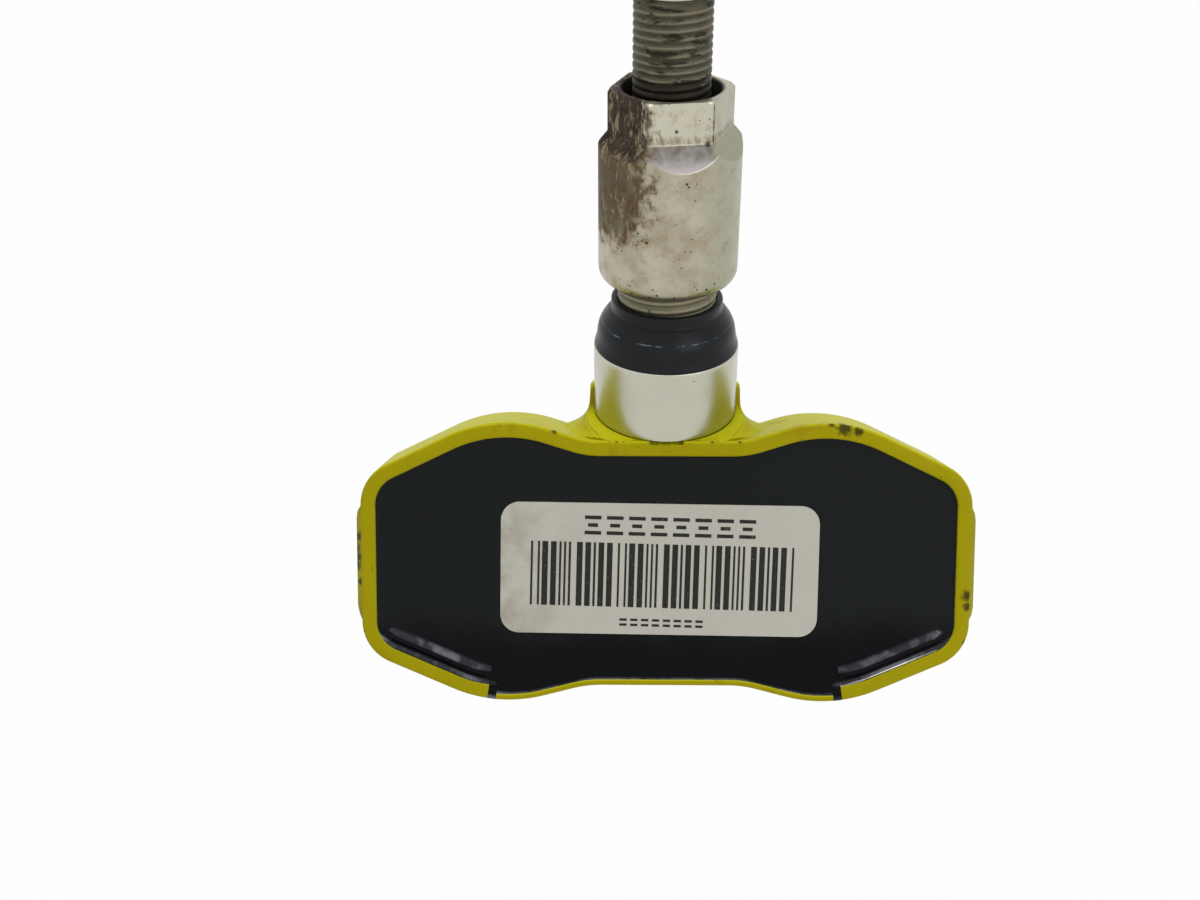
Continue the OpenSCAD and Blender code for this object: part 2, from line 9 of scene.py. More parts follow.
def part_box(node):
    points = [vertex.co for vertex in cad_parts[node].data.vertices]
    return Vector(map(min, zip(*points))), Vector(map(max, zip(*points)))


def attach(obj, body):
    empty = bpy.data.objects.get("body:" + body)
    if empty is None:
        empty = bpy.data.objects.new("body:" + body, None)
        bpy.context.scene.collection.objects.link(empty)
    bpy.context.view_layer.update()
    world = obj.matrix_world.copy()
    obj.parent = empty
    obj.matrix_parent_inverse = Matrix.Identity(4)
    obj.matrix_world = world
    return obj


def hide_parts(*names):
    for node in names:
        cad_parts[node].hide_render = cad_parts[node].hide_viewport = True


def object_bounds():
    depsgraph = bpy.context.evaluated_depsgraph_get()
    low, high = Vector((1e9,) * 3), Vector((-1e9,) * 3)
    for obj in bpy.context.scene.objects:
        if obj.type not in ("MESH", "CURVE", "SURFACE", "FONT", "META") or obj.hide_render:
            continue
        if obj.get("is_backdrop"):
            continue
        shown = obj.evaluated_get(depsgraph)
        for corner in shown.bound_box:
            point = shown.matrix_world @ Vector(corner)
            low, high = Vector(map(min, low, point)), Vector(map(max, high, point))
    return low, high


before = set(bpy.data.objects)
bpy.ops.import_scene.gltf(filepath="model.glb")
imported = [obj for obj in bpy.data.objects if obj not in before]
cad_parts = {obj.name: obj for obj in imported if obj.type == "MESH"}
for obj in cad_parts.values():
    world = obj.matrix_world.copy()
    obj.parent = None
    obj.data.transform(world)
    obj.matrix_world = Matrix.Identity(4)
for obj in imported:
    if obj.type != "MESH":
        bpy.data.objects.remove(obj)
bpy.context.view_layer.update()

bl_info = {
    "name": "Tyre pressure sensor",
    "version": (1, 0, 0),
    "blender": (4, 5, 0),
    "location": "View3D > Sidebar > Tyre Sensor",
    "description": "Finishes of a clamp-in tyre pressure sensor over its packed solids",
    "category": "Object",
}

MM = 0.001

# The photograph's camera: place in millimetres, angles in degrees, focal length in pixels
PICTURE_WIDTH = 1200
FOCAL_PIXELS = 1536.0
CAMERA_PLACE = (-5.402, -147.279, 69.276)
CAMERA_DOWN, CAMERA_ROUND, CAMERA_ROLL = 30.546, -0.655, -0.120

# Share of plain white in what is seen of the floor, and the lamps' aim in metres
FLOOR_GLOW = 0.95
LAMP_AIM = (0, -0.01, -0.01)

# Stem heights in millimetres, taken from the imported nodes
NUT_LOW, NUT_HIGH = (v[2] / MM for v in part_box("nut"))
SEAL_LOW, SEAL_HIGH = (v[2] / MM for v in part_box("grommet"))
STEM_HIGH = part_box("valve_stem")[1][2] / MM


def linear(code):
    """An sRGB hex colour as the linear colour that the shaders take."""
    parts = [int(code[i:i + 2], 16) / 255 for i in (1, 3, 5)]
    return tuple(p / 12.92 if p <= 0.04045 else ((p + 0.055) / 1.055) ** 2.4
                 for p in parts) + (1.0,)


def length(name, description, value):
    """A size in metres for a property group, given in millimetres."""
    return bpy.props.FloatProperty(name=name, description=description, default=value * MM,
                                   min=0.0, unit="LENGTH", subtype="DISTANCE", precision=5)


def paint(name, description, code):
    """A colour for a property group, given as an sRGB hex value."""
    return bpy.props.FloatVectorProperty(name=name, description=description, subtype="COLOR",
                                         size=4, min=0.0, max=1.0, default=linear(code))


class TYRESENSOR_PG_tray(bpy.types.PropertyGroup):
    width: length("Width", "Width of the tray without its pads", 64.8)
    height: length("Height", "Height from waist to waist", 26.4)
    depth: length("Depth", "Depth from rim to back", 15.4)
    rim: length("Rim", "Width of the thick rim", 1.6)
    lip: length("Lip", "Width of the thin lip along the lower waist", 0.65)
    back_round: length("Back rounding", "Rounding between sides and back", 4.0)
    pad: length("Pads", "How far the side pads stand out", 0.6)
    edge: length("Rim edge", "Rounding of the rim's outer edge", 0.4)
    yellow: paint("Plastic", "Colour of the moulded tray", "#9a8f04")
    # painted shadow: this dark colour also paints the shade in the slit under the collar, besides
    # the dirt
    scuff_and_shade: paint("Scuffs", "Colour of the dirt rubbed into the tray", "#3a3210")


class TYRESENSOR_PG_potting(bpy.types.PropertyGroup):
    level: length("Level", "Depth of the resin under the rim", 0.3)
    creep: length("Creep", "Height that the resin climbs at the walls", 0.28)
    ridge: length("Ridge", "Height of the bead inside the lower corners", 0.44)
    black: paint("Resin", "Colour of the potting resin", "#08090d")
    dust: paint("Dust", "Colour of the dust on the resin", "#323735")


class TYRESENSOR_PG_label(bpy.types.PropertyGroup):
    width: length("Width", "Width of the label", 33.8)
    height: length("Height", "Height of the label", 14.15)
    corner: length("Corner", "Corner radius of the label", 2.0)
    thickness: length("Thickness", "Thickness of the film", 0.12)
    film: paint("Film", "Colour of the label's film", "#bab8ac")
    ink: paint("Ink", "Colour of the print", "#20201d")


class TYRESENSOR_PG_valve(bpy.types.PropertyGroup):
    collar: length("Collar", "Radius of the polished collar", 7.7)
    shank: length("Shank", "Radius of the threaded shank", 5.2)
    cap_thread: length("Cap thread", "Radius over the cap thread's crests", 3.875)
    cap_pitch: length("Cap pitch", "Pitch of the cap thread", 0.794)
    shank_pitch: length("Shank pitch", "Pitch of the shank's thread", 0.95)
    nickel: paint("Nickel", "Colour of the plated valve", "#c6c5b6")


class TYRESENSOR_PG_nut(bpy.types.PropertyGroup):
    radius: length("Radius", "Radius of the round body", 7.22)
    flats: length("Flats", "Size across the flats", 11.0)
    mouth: length("Mouth", "Radius of the mouth", 4.92)
    nickel: paint("Nickel", "Colour of the clean plating", "#b9b5a2")
    stain: paint("Stain", "Colour of the brown stain", "#51432c")
    crust: paint("Crust", "Colour of the dark crust", "#1d1711")


class TYRESENSOR_PG_grommet(bpy.types.PropertyGroup):
    flange: length("Flange", "Radius of the flange", 7.68)
    neck: length("Neck", "Radius of the neck", 5.85)
    rubber: paint("Rubber", "Colour of the moulded rubber", "#17181a")


class TYRESENSOR_PG_stage(bpy.types.PropertyGroup):
    drop: length("Floor", "Distance of the floor under the sensor", 30.0)
    world: bpy.props.FloatProperty(name="World", description="Light from all round",
                                   default=0.62, min=0.0, max=2.0)
    lamp: bpy.props.FloatProperty(name="Top lamp", description="Power of the lamp above",
                                  default=0.55, min=0.0, unit="POWER")
    fill: bpy.props.FloatProperty(name="Fill lamp", description="Power of the soft fill",
                                  default=0.5, min=0.0, unit="POWER")


# Shared builders

def add_node(tree, kind, inputs=None, **settings):
    """Adds one shader node. An input is a value, a socket, or a node that gives its result."""
    node = tree.nodes.new("ShaderNode" + kind)
    for name, value in settings.items():
        setattr(node, name, value)
    for name, value in (inputs or {}).items():
        if isinstance(value, bpy.types.Node):
            value = next(socket for socket in value.outputs if socket.enabled)
        if isinstance(value, bpy.types.NodeSocket):
            tree.links.new(value, node.inputs[name])
        else:
            node.inputs[name].default_value = value
    return node


def new_material(name):
    """An empty node material, as (material, tree, coordinates)."""
    material = bpy.data.materials.new(name)
    material.use_nodes = True
    tree = material.node_tree
    tree.nodes.clear()
    return material, tree, add_node(tree, "TexCoord").outputs["Object"]


def per_mm(size):
    """Noise scale at which the features are about this many millimetres across."""
    return 1.0 / (size * MM)


def spots(tree, coords, ragged, places, mask=None):
    """A mask of ragged spots: places are ((x, y, z), size) in millimetres, ragged a noise value."""
    for place, size in places:
        x, y, z = (v * MM for v in place)
        far = add_node(tree, "VectorMath", {0: coords, 1: (x, y, z)}, operation="DISTANCE")
        edge = add_node(tree, "Math", {
            0: ragged, 1: 0.9 * size * MM, 2: far}, operation="MULTIPLY_ADD")
        near = add_node(tree, "MapRange", {
            "Value": edge, "From Min": 0.75 * size * MM, "From Max": 1.15 * size * MM,
            "To Min": 0.92, "To Max": 0.0})
        if mask is None:
            mask = near
        else:
            mask = add_node(tree, "Math", {0: mask, 1: near}, operation="MAXIMUM")
    return mask


def piece(name, points, faces, material, body="sensor", sharp=35.0, slot=None):
    """A mesh piece with its points in millimetres, smooth up to the sharp angle."""
    mesh = bpy.data.meshes.new(name)
    mesh.from_pydata([tuple(p) for p in np.asarray(points) * MM], [], faces)
    work = bmesh.new()
    work.from_mesh(mesh)
    bmesh.ops.remove_doubles(work, verts=work.verts, dist=0.0004 * MM)
    bmesh.ops.dissolve_degenerate(work, edges=work.edges, dist=0.0002 * MM)
    bmesh.ops.recalc_face_normals(work, faces=work.faces)
    work.to_mesh(mesh)
    work.free()
    for polygon in mesh.polygons:
        polygon.use_smooth = True
    mesh.set_sharp_from_angle(angle=math.radians(sharp))
    mesh.materials.append(material)
    obj = bpy.data.objects.new(name, mesh)
    bpy.context.scene.collection.objects.link(obj)
    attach(obj, body)
    return obj


def ring_faces(count, rings, closed=True, start=0):
    """Quads between rings of equally many points."""
    faces = []
    last = count if closed else count - 1
    for k in range(rings - 1):
        a, b = start + k * count, start + (k + 1) * count
        for i in range(last):
            j = (i + 1) % count
            faces.append((a + i, a + j, b + j, b + i))
    return faces


def lathe(radii, heights, angles):
    """Points of rings about the stem: radii is (rings, angles) or (rings,)."""
    radii = np.asarray(radii, float)
    if radii.ndim == 1:
        radii = np.repeat(radii[:, None], len(angles), axis=1)
    heights = np.repeat(np.asarray(heights, float)[:, None], len(angles), axis=1)
    rings = np.stack([radii * np.cos(angles), radii * np.sin(angles), heights], axis=-1)
    return rings.reshape(-1, 3)


def arc(cx, cy, r, start, end, steps):
    """Points of an arc, angles in degrees."""
    return [(cx + r * math.cos(math.radians(a)), cy + r * math.sin(math.radians(a)))
            for a in np.linspace(start, end, steps + 1)]


def smooth_step(x, low, high):
    """0 below low and 1 above high, with a soft change between."""
    t = np.clip((np.asarray(x, float) - low) / (high - low), 0, 1)
    return t * t * (3 - 2 * t)


def smooth_min(a, b, k):
    """The lesser of two values, rounded over where they are within k of each other."""
    h = np.clip(0.5 + 0.5 * (b - a) / k, 0, 1)
    return b + (a - b) * h - k * h * (1 - h)


def wave_noise(x, y, seed):
    """A gentle, repeatable unevenness from a few long waves, about -1 to 1."""
    rng = np.random.default_rng(seed)
    total = np.zeros_like(np.asarray(x, float))
    for _ in range(9):
        a, b, c = rng.uniform(-1, 1), rng.uniform(-1, 1), rng.uniform(0, 6.28)
        total += np.sin(a * x + b * y + c)
    return total / 5


# The tray's own frame, in millimetres: x across, y up the face, z out of it, rim at z = 0

TILT = math.radians(23.5)
TRAY_ORIGIN = np.array([0.0, -7.8, -12.2])
TRAY_Y = np.array([0.0, math.sin(TILT), math.cos(TILT)])
TRAY_Z = np.array([0.0, -math.cos(TILT), math.sin(TILT)])

# Height of the upper waist, how far the lobes stand out past the waists, and the pads' height
WAIST_TOP = 0.2
LOWER_LOBE, UPPER_LOBE = 2.5, 3.0
PAD_HEIGHT = 10.6

# Overflow slots in the lower lip: distance from the middle, width and depth
SLOT_X, SLOT_W, SLOT_D = 18.6, 0.95, 1.8

# Hollow in the rim under the collar's front: half its width, and its floor in the sensor's frame
GAP_HALF, GAP_FLOOR = 1.75, -12.45

# Pressure port in the tray's back, with its dish, and the air hole in the collar's back
PORT_X, PORT_R, DISH_R, PORT_POINTS = 10.04, 0.9, 2.3, 48
AIR_HOLE_Z, AIR_HOLE_R, AIR_HOLE_DEPTH = -6.6, 1.25, 2.8

# How far the label is turned on the resin, and its marks on the film, in degrees
LABEL_TURN = MARKS_TURN = -0.7

# How far the middle of the nut's front flat stands to the right, in degrees
NUT_TURN = 8.7

# Radius of the bores that pass over the shank
FIT = 5.25


def on_tray(points):
    """Points of the tray's frame in the sensor's frame, in millimetres."""
    p = np.asarray(points, float)
    return (TRAY_ORIGIN + p[:, :1] * np.array([1.0, 0, 0]) + p[:, 1:2] * TRAY_Y
            + p[:, 2:3] * TRAY_Z)


def tray_depth(points):
    """Height over the rim's plane of points in the sensor's frame."""
    return (np.asarray(points) - TRAY_ORIGIN) @ TRAY_Z


def with_gap(points):
    """Points of the tray with the hollow in the rim under the collar's front."""
    p = np.array(points)
    hit = (np.abs(p[:, 0]) < GAP_HALF) & (p[:, 1] < -4.6) & (p[:, 2] > GAP_FLOOR)
    p[hit, 2] = GAP_FLOOR
    return p


def tray_outline(tray):
    """Points and outward normals round the tray's outline, with the slots' edges among them."""
    half, top = tray.width / MM / 2, WAIST_TOP
    low = top - tray.height / MM
    # corners of the right half and their radii
    right = [(half - 24.1, low, 12.0), (half - 14.4, low - LOWER_LOBE, 15.0),
             (half, low + 3.7, 4.8), (half, top - 3.9, 4.8),
             (half - 14.4, top + UPPER_LOBE, 15.0), (half - 24.1, top, 9.0)]
    corners = right + [(-x, y, r) for x, y, r in reversed(right)]
    count = len(corners)
    points, normals = [], []
    for i in range(count):
        p = np.array(corners[i][:2])
        before, after = np.array(corners[i - 1][:2]), np.array(corners[(i + 1) % count][:2])
        d1, d2 = (p - before) / np.linalg.norm(p - before), (after - p) / np.linalg.norm(after - p)
        n1, n2 = np.array([d1[1], -d1[0]]), np.array([d2[1], -d2[0]])
        turn = math.asin(n1[0] * n2[1] - n1[1] * n2[0])
        side = 1 if turn > 0 else -1
        centre = p - side * corners[i][2] * (n1 + n2) / (1 + n1 @ n2)
        first = math.atan2(n1[1], n1[0])
        steps = max(6, int(abs(math.degrees(turn)) / 2.2))
        for k in range(steps + 1):
            a = first + turn * k / steps
            n = np.array([math.cos(a), math.sin(a)])
            points.append(centre + side * corners[i][2] * n)
            normals.append(n)
    points, normals = np.array(points), np.array(normals)
    out_p, out_n = [], []
    edges = [s * SLOT_X + t * SLOT_W / 2 for s in (-1, 1) for t in (-1, 1)]
    for i in range(len(points)):
        a, b = points[i], points[(i + 1) % len(points)]
        na, nb = normals[i], normals[(i + 1) % len(points)]
        gap = np.linalg.norm(b - a)
        cuts = set(np.linspace(0, 1, max(1, int(math.ceil(gap / 0.8))) + 1)[:-1])
        if abs(b[0] - a[0]) > 1e-9:
            for e in edges if a[1] < low + 4 else (-GAP_HALF, GAP_HALF):
                t = (e - a[0]) / (b[0] - a[0])
                if 0 < t < 1:
                    cuts |= {t - 0.0006 / gap, t + 0.0006 / gap}
        for t in sorted(cuts):
            n = na * (1 - t) + nb * t
            out_p.append(a * (1 - t) + b * t)
            out_n.append(n / np.linalg.norm(n))
    return np.array(out_p), np.array(out_n)


def slot_state(points, tray):
    """For each outline point, whether it lies in a slot, and the wall's width there."""
    low = WAIST_TOP - tray.height / MM
    lower = points[:, 1] < low + 2.5
    offset = np.abs(points[:, 0])
    in_slot = lower & (np.abs(offset - SLOT_X) < SLOT_W / 2)
    width = np.where(lower & (offset < SLOT_X - SLOT_W / 2), tray.lip, tray.rim) / MM
    return in_slot, width


# Materials

def up_the_tray(tree):
    """How far the surface faces up the tray, from -1 to 1."""
    normal = add_node(tree, "NewGeometry").outputs["Normal"]
    return add_node(tree, "VectorMath", {0: normal, 1: tuple(TRAY_Y)}, operation="DOT_PRODUCT")


def yellow_moulded_nylon(tray):
    """Glass-filled nylon, moulded in yellow: a fine satin grain with a soft sheen, painted brighter
    and greener on the walls that face up as painted light from above, dark dirt ground in along the
    edges, and painted shadow in the slit under the collar's front."""
    material, tree, coords = new_material("yellow_moulded_nylon")
    cloud = add_node(tree, "TexNoise", {
        "Vector": coords, "Scale": per_mm(6), "Detail": 4.0, "Roughness": 0.6})
    tint = add_node(tree, "Mix", {
        0: cloud, 6: tuple(tray.yellow), 7: linear("#a69c08")}, data_type="RGBA")
    # painted light: the walls that face up are painted brighter and greener than the front, as if
    # lit from above
    upward = add_node(tree, "MapRange", {
        "Value": up_the_tray(tree), "From Min": 0.25, "From Max": 0.95, "To Max": 0.9})
    painted_top_light = add_node(tree, "Mix", {0: upward, 6: tint, 7: linear("#c8c610")}, data_type="RGBA")
    # orange shade in patches, from oil that has soaked in
    patch = add_node(tree, "TexNoise", {
        "Vector": coords, "Scale": per_mm(3.2), "Detail": 5.0, "Roughness": 0.65})
    patch_mask = add_node(tree, "MapRange", {
        "Value": patch, "From Min": 0.56, "From Max": 0.72, "To Max": 0.5})
    oiled = add_node(tree, "Mix", {0: patch_mask, 6: painted_top_light, 7: linear("#8f760c")}, data_type="RGBA")
    # dark specks: grit pressed into the surface
    grit = add_node(tree, "TexNoise", {
        "Vector": coords, "Scale": per_mm(0.45), "Detail": 3.0, "Roughness": 0.6})
    grit_mask = add_node(tree, "MapRange", {"Value": grit, "From Min": 0.7, "From Max": 0.76})
    # the dirt marks, among them the painted shadow of the slit under the collar
    places = [(on_tray([place])[0], size) for place, size in SCUFFS_AND_SLIT_SHADE]
    mask = spots(tree, coords, grit, places, grit_mask)
    colour = add_node(tree, "Mix", {0: mask, 6: oiled, 7: tuple(tray.scuff_and_shade)}, data_type="RGBA")
    # moulded grain of 0.12 mm, drawn a little coarse so that it shows
    grain = add_node(tree, "TexNoise", {"Vector": coords, "Scale": per_mm(0.16), "Detail": 2.0})
    rough = add_node(tree, "MapRange", {"Value": patch, "To Min": 0.36, "To Max": 0.52})
    bump = add_node(tree, "Bump", {"Strength": 0.25, "Distance": 0.02 * MM, "Height": grain})
    surface = add_node(tree, "BsdfPrincipled", {
        "Base Color": colour, "Roughness": rough, "IOR": 1.53, "Specular IOR Level": 0.05,
        "Normal": bump})
    add_node(tree, "OutputMaterial", {0: surface})
    return material


# Dark marks on the tray, in its own frame: place and size in millimetres. Most are dirt; the six in
# a row at the collar's front are painted shadow of the slit under it
SCUFFS_AND_SLIT_SHADE = [((18.7, 1.75, 0.0), 1.5), ((17.3, 2.3, 0.0), 0.9), ((20.1, 1.3, 0.0), 1.0),
          ((18.5, 2.5, -1.4), 1.2), ((32.0, -16.2, 0.0), 1.1), ((32.15, -17.4, 0.0), 0.9),
          ((32.2, -21.4, 0.0), 0.9), ((-32.7, -10.2, -0.8), 0.9), ((-32.8, -11.5, -1.2), 1.2),
          ((-32.85, -12.4, -0.7), 1.0), ((-32.8, -13.3, -1.3), 1.3),
          ((-32.7, -15.1, -0.6), 0.8), ((-11.8, 1.25, -0.2), 0.6), ((-5.3, 0.3, -0.1), 0.5),
          ((-4.6, 0.3, -0.1), 0.45), ((4.8, 0.25, -0.1), 0.5), ((7.7, 0.25, -0.1), 0.45),
          ((-6.0, 0.3, -0.1), 0.4), ((5.4, 0.3, -0.1), 0.4), ((-1.5, 0.15, -0.15), 0.6),
          ((-0.9, 0.15, -0.15), 0.65), ((-0.3, 0.15, -0.15), 0.6), ((0.3, 0.15, -0.15), 0.65),
          ((0.9, 0.15, -0.15), 0.6), ((1.5, 0.15, -0.15), 0.65)]


def black_potting_resin(potting):
    """Polyurethane potting, poured: black and glossy where wiping cleaned it, with a painted bluish
    tint of the glints there, greyed by dust on the upper part of the face."""
    material, tree, coords = new_material("black_potting_resin")
    split = add_node(tree, "SeparateXYZ", {0: coords})
    cloud = add_node(tree, "TexNoise", {
        "Vector": coords, "Scale": per_mm(7), "Detail": 3.0, "Roughness": 0.5})
    # dust thins out towards the lower edge of the face
    edge = add_node(tree, "Math", {
        0: cloud, 1: 5 * MM, 2: split.outputs["Z"]}, operation="MULTIPLY_ADD")
    dusty = add_node(tree, "MapRange", {
        "Value": edge, "From Min": -31.0 * MM, "From Max": -25.5 * MM, "To Max": 0.24},
        interpolation_type="SMOOTHSTEP")
    fine = add_node(tree, "TexNoise", {
        "Vector": coords, "Scale": per_mm(0.5), "Detail": 4.0, "Roughness": 0.7})
    amount = add_node(tree, "Math", {
        0: dusty, 1: add_node(tree, "MapRange", {"Value": fine, "To Min": 0.7, "To Max": 1.3})},
        operation="MULTIPLY")
    colour = add_node(tree, "Mix", {
        0: amount, 6: tuple(potting.black), 7: tuple(potting.dust)}, data_type="RGBA")
    rough = add_node(tree, "MapRange", {
        "Value": dusty, "From Max": 0.24, "To Min": 0.1, "To Max": 0.34})
    bump = add_node(tree, "Bump", {"Strength": 0.2, "Distance": 0.05 * MM, "Height": cloud})
    # the bead's upper slope was cleaned by wiping, so it alone mirrors the lamp; its colour there
    # is painted bluish, a painted tint of its glints
    upward = add_node(tree, "MapRange", {
        "Value": up_the_tray(tree), "From Min": 0.12, "From Max": 0.4})
    smear = add_node(tree, "TexNoise", {
        "Vector": coords, "Scale": per_mm(4.5), "Detail": 4.0, "Roughness": 0.6})
    left_over = add_node(tree, "MapRange", {
        "Value": smear, "From Min": 0.44, "From Max": 0.56, "To Min": 0.2})
    wiped_and_glint_tint = add_node(tree, "Math", {0: upward, 1: left_over}, operation="MULTIPLY")
    # painted highlight: the base colour turns bluish where the slope mirrors the lamp
    painted_glint_blue = add_node(tree, "Mix", {0: wiped_and_glint_tint, 6: colour, 7: linear("#20243a")}, data_type="RGBA")
    surface = add_node(tree, "BsdfPrincipled", {
        "Base Color": painted_glint_blue, "Roughness": rough, "IOR": 1.5, "Specular IOR Level": 0.07,
        "Coat Weight": wiped_and_glint_tint, "Coat Roughness": 0.06, "Coat IOR": 2.1, "Normal": bump})
    add_node(tree, "OutputMaterial", {0: surface})
    return material


def label_film_satin(label):
    """Polyester label film, thermal printed: off-white satin, yellowed and faintly stained towards
    its left edge."""
    material, tree, coords = new_material("label_film_satin")
    split = add_node(tree, "SeparateXYZ", {0: coords})
    stain = add_node(tree, "TexNoise", {
        "Vector": coords, "Scale": per_mm(3.5), "Detail": 5.0, "Roughness": 0.65})
    left = add_node(tree, "MapRange", {
        "Value": split.outputs["X"], "From Min": -17.5 * MM, "From Max": -9 * MM, "To Min": 0.75,
        "To Max": 0.12})
    stain_mask = add_node(tree, "MapRange", {"Value": stain, "From Min": 0.42, "From Max": 0.7})
    amount = add_node(tree, "Math", {0: left, 1: stain_mask}, operation="MULTIPLY")
    colour = add_node(tree, "Mix", {
        0: amount, 6: tuple(label.film), 7: linear("#908a7a")}, data_type="RGBA")
    fibre = add_node(tree, "TexNoise", {"Vector": coords, "Scale": per_mm(0.3), "Detail": 3.0})
    bump = add_node(tree, "Bump", {"Strength": 0.12, "Distance": 0.02 * MM, "Height": fibre})
    surface = add_node(tree, "BsdfPrincipled", {
        "Base Color": colour, "Roughness": 0.5, "IOR": 1.5, "Specular IOR Level": 0.25,
        "Normal": bump})
    add_node(tree, "OutputMaterial", {0: surface})
    return material


def thermal_print_ink(label):
    """Thermal transfer print: a dense satin black, worn a little in fine flecks."""
    material, tree, coords = new_material("thermal_print_ink")
    fleck = add_node(tree, "TexNoise", {
        "Vector": coords, "Scale": per_mm(0.25), "Detail": 3.0, "Roughness": 0.7})
    flecked = add_node(tree, "MapRange", {
        "Value": fleck, "From Min": 0.62, "From Max": 0.8, "To Max": 0.5})
    colour = add_node(tree, "Mix", {
        0: flecked, 6: tuple(label.ink), 7: tuple(label.film)}, data_type="RGBA")
    surface = add_node(tree, "BsdfPrincipled", {
        "Base Color": colour, "Roughness": 0.5, "IOR": 1.5, "Specular IOR Level": 0.2})
    add_node(tree, "OutputMaterial", {0: surface})
    return material


def bright_nickel_turned(valve):
    """Nickel-plated brass, fine turned and polished: mirrors the yellow tray in soft bands, with
    hair-fine turning marks and a few dark nicks."""
    material, tree, coords = new_material("bright_nickel_turned")
    rings = add_node(tree, "Mapping", {"Vector": coords, "Scale": (0.02, 0.02, 1.0)})
    # turning marks of 0.05 mm, drawn at 0.12 mm so that they show
    marks = add_node(tree, "TexNoise", {"Vector": rings, "Scale": per_mm(0.12), "Detail": 2.0})
    nick = add_node(tree, "TexNoise", {
        "Vector": coords, "Scale": per_mm(0.7), "Detail": 4.0, "Roughness": 0.65})
    nick_mask = add_node(tree, "MapRange", {
        "Value": nick, "From Min": 0.7, "From Max": 0.74, "To Max": 0.85})
    film = add_node(tree, "TexNoise", {"Vector": coords, "Scale": per_mm(4), "Detail": 3.0})
    hazed = add_node(tree, "Mix", {
        0: film, 6: tuple(valve.nickel), 7: linear("#bab9aa")}, data_type="RGBA")
    colour = add_node(tree, "Mix", {0: nick_mask, 6: hazed, 7: linear("#4a4426")}, data_type="RGBA")
    rough = add_node(tree, "MapRange", {"Value": film, "To Min": 0.24, "To Max": 0.38})
    bump = add_node(tree, "Bump", {"Strength": 0.12, "Distance": 0.01 * MM, "Height": marks})
    surface = add_node(tree, "BsdfPrincipled", {
        "Base Color": colour, "Metallic": 1.0, "Roughness": rough, "Normal": bump})
    add_node(tree, "OutputMaterial", {0: surface})
    return material


def tarnished_thread_metal():
    """Nickel-plated brass thread, dulled: grey-brown oxide in the roots, thin bright crests and
    black grease pressed into some of the turns."""
    material, tree, coords = new_material("tarnished_thread_metal")
    crest = add_node(tree, "Attribute", attribute_name="crest")
    dirt = add_node(tree, "TexNoise", {
        "Vector": coords, "Scale": per_mm(1.2), "Detail": 6.0, "Roughness": 0.7})
    band = add_node(tree, "Mapping", {"Vector": coords, "Scale": (0.35, 0.35, 1.4)})
    grease = add_node(tree, "TexNoise", {
        "Vector": band, "Scale": per_mm(1.1), "Detail": 4.0, "Roughness": 0.6})
    split = add_node(tree, "SeparateXYZ", {0: coords})
    low = add_node(tree, "MapRange", {
        "Value": split.outputs["Z"], "From Min": 23.6 * MM, "From Max": 26.2 * MM, "To Min": 0.24,
        "To Max": 0.0})
    soaked = add_node(tree, "Math", {0: grease, 1: low}, operation="ADD")
    grease_mask = add_node(tree, "MapRange", {
        "Value": soaked, "From Min": 0.55, "From Max": 0.62, "To Max": 0.85})
    # only the cap thread is greased, the shank under the nut stays olive and bare
    shank = add_node(tree, "MapRange", {
        "Value": split.outputs["Z"], "From Min": 13.5 * MM, "From Max": 14.5 * MM, "To Min": 1.0,
        "To Max": 0.0})
    bare = add_node(tree, "Math", {0: grease_mask, 1: shank}, operation="SUBTRACT", use_clamp=True)
    base = add_node(tree, "Mix", {
        0: dirt, 6: linear("#3a362a"), 7: linear("#6b6553")}, data_type="RGBA")
    lighter = add_node(tree, "Mix", {0: shank, 6: base, 7: linear("#8c886e")}, data_type="RGBA")
    shine = add_node(tree, "MapRange", {
        "Value": crest.outputs["Fac"], "From Min": 0.86, "To Max": 0.5})
    lit = add_node(tree, "Mix", {0: shine, 6: lighter, 7: linear("#918c78")}, data_type="RGBA")
    root = add_node(tree, "MapRange", {
        "Value": crest.outputs["Fac"], "From Max": 0.35, "To Min": 0.5, "To Max": 0.0})
    deep = add_node(tree, "Mix", {0: root, 6: lit, 7: linear("#37332a")}, data_type="RGBA")
    speck = add_node(tree, "TexNoise", {
        "Vector": coords, "Scale": per_mm(0.55), "Detail": 4.0, "Roughness": 0.65})
    speck_mask = add_node(tree, "MapRange", {
        "Value": speck, "From Min": 0.62, "From Max": 0.68, "To Max": 0.8})
    soiled = add_node(tree, "Math", {0: bare, 1: speck_mask}, operation="MAXIMUM")
    colour = add_node(tree, "Mix", {0: soiled, 6: deep, 7: linear("#1c1a13")}, data_type="RGBA")
    bump = add_node(tree, "Bump", {"Strength": 0.4, "Distance": 0.03 * MM, "Height": dirt})
    surface = add_node(tree, "BsdfPrincipled", {
        "Base Color": colour, "Metallic": 0.7, "Roughness": 0.55, "Specular IOR Level": 0.25,
        "Normal": bump})
    add_node(tree, "OutputMaterial", {0: surface})
    return material


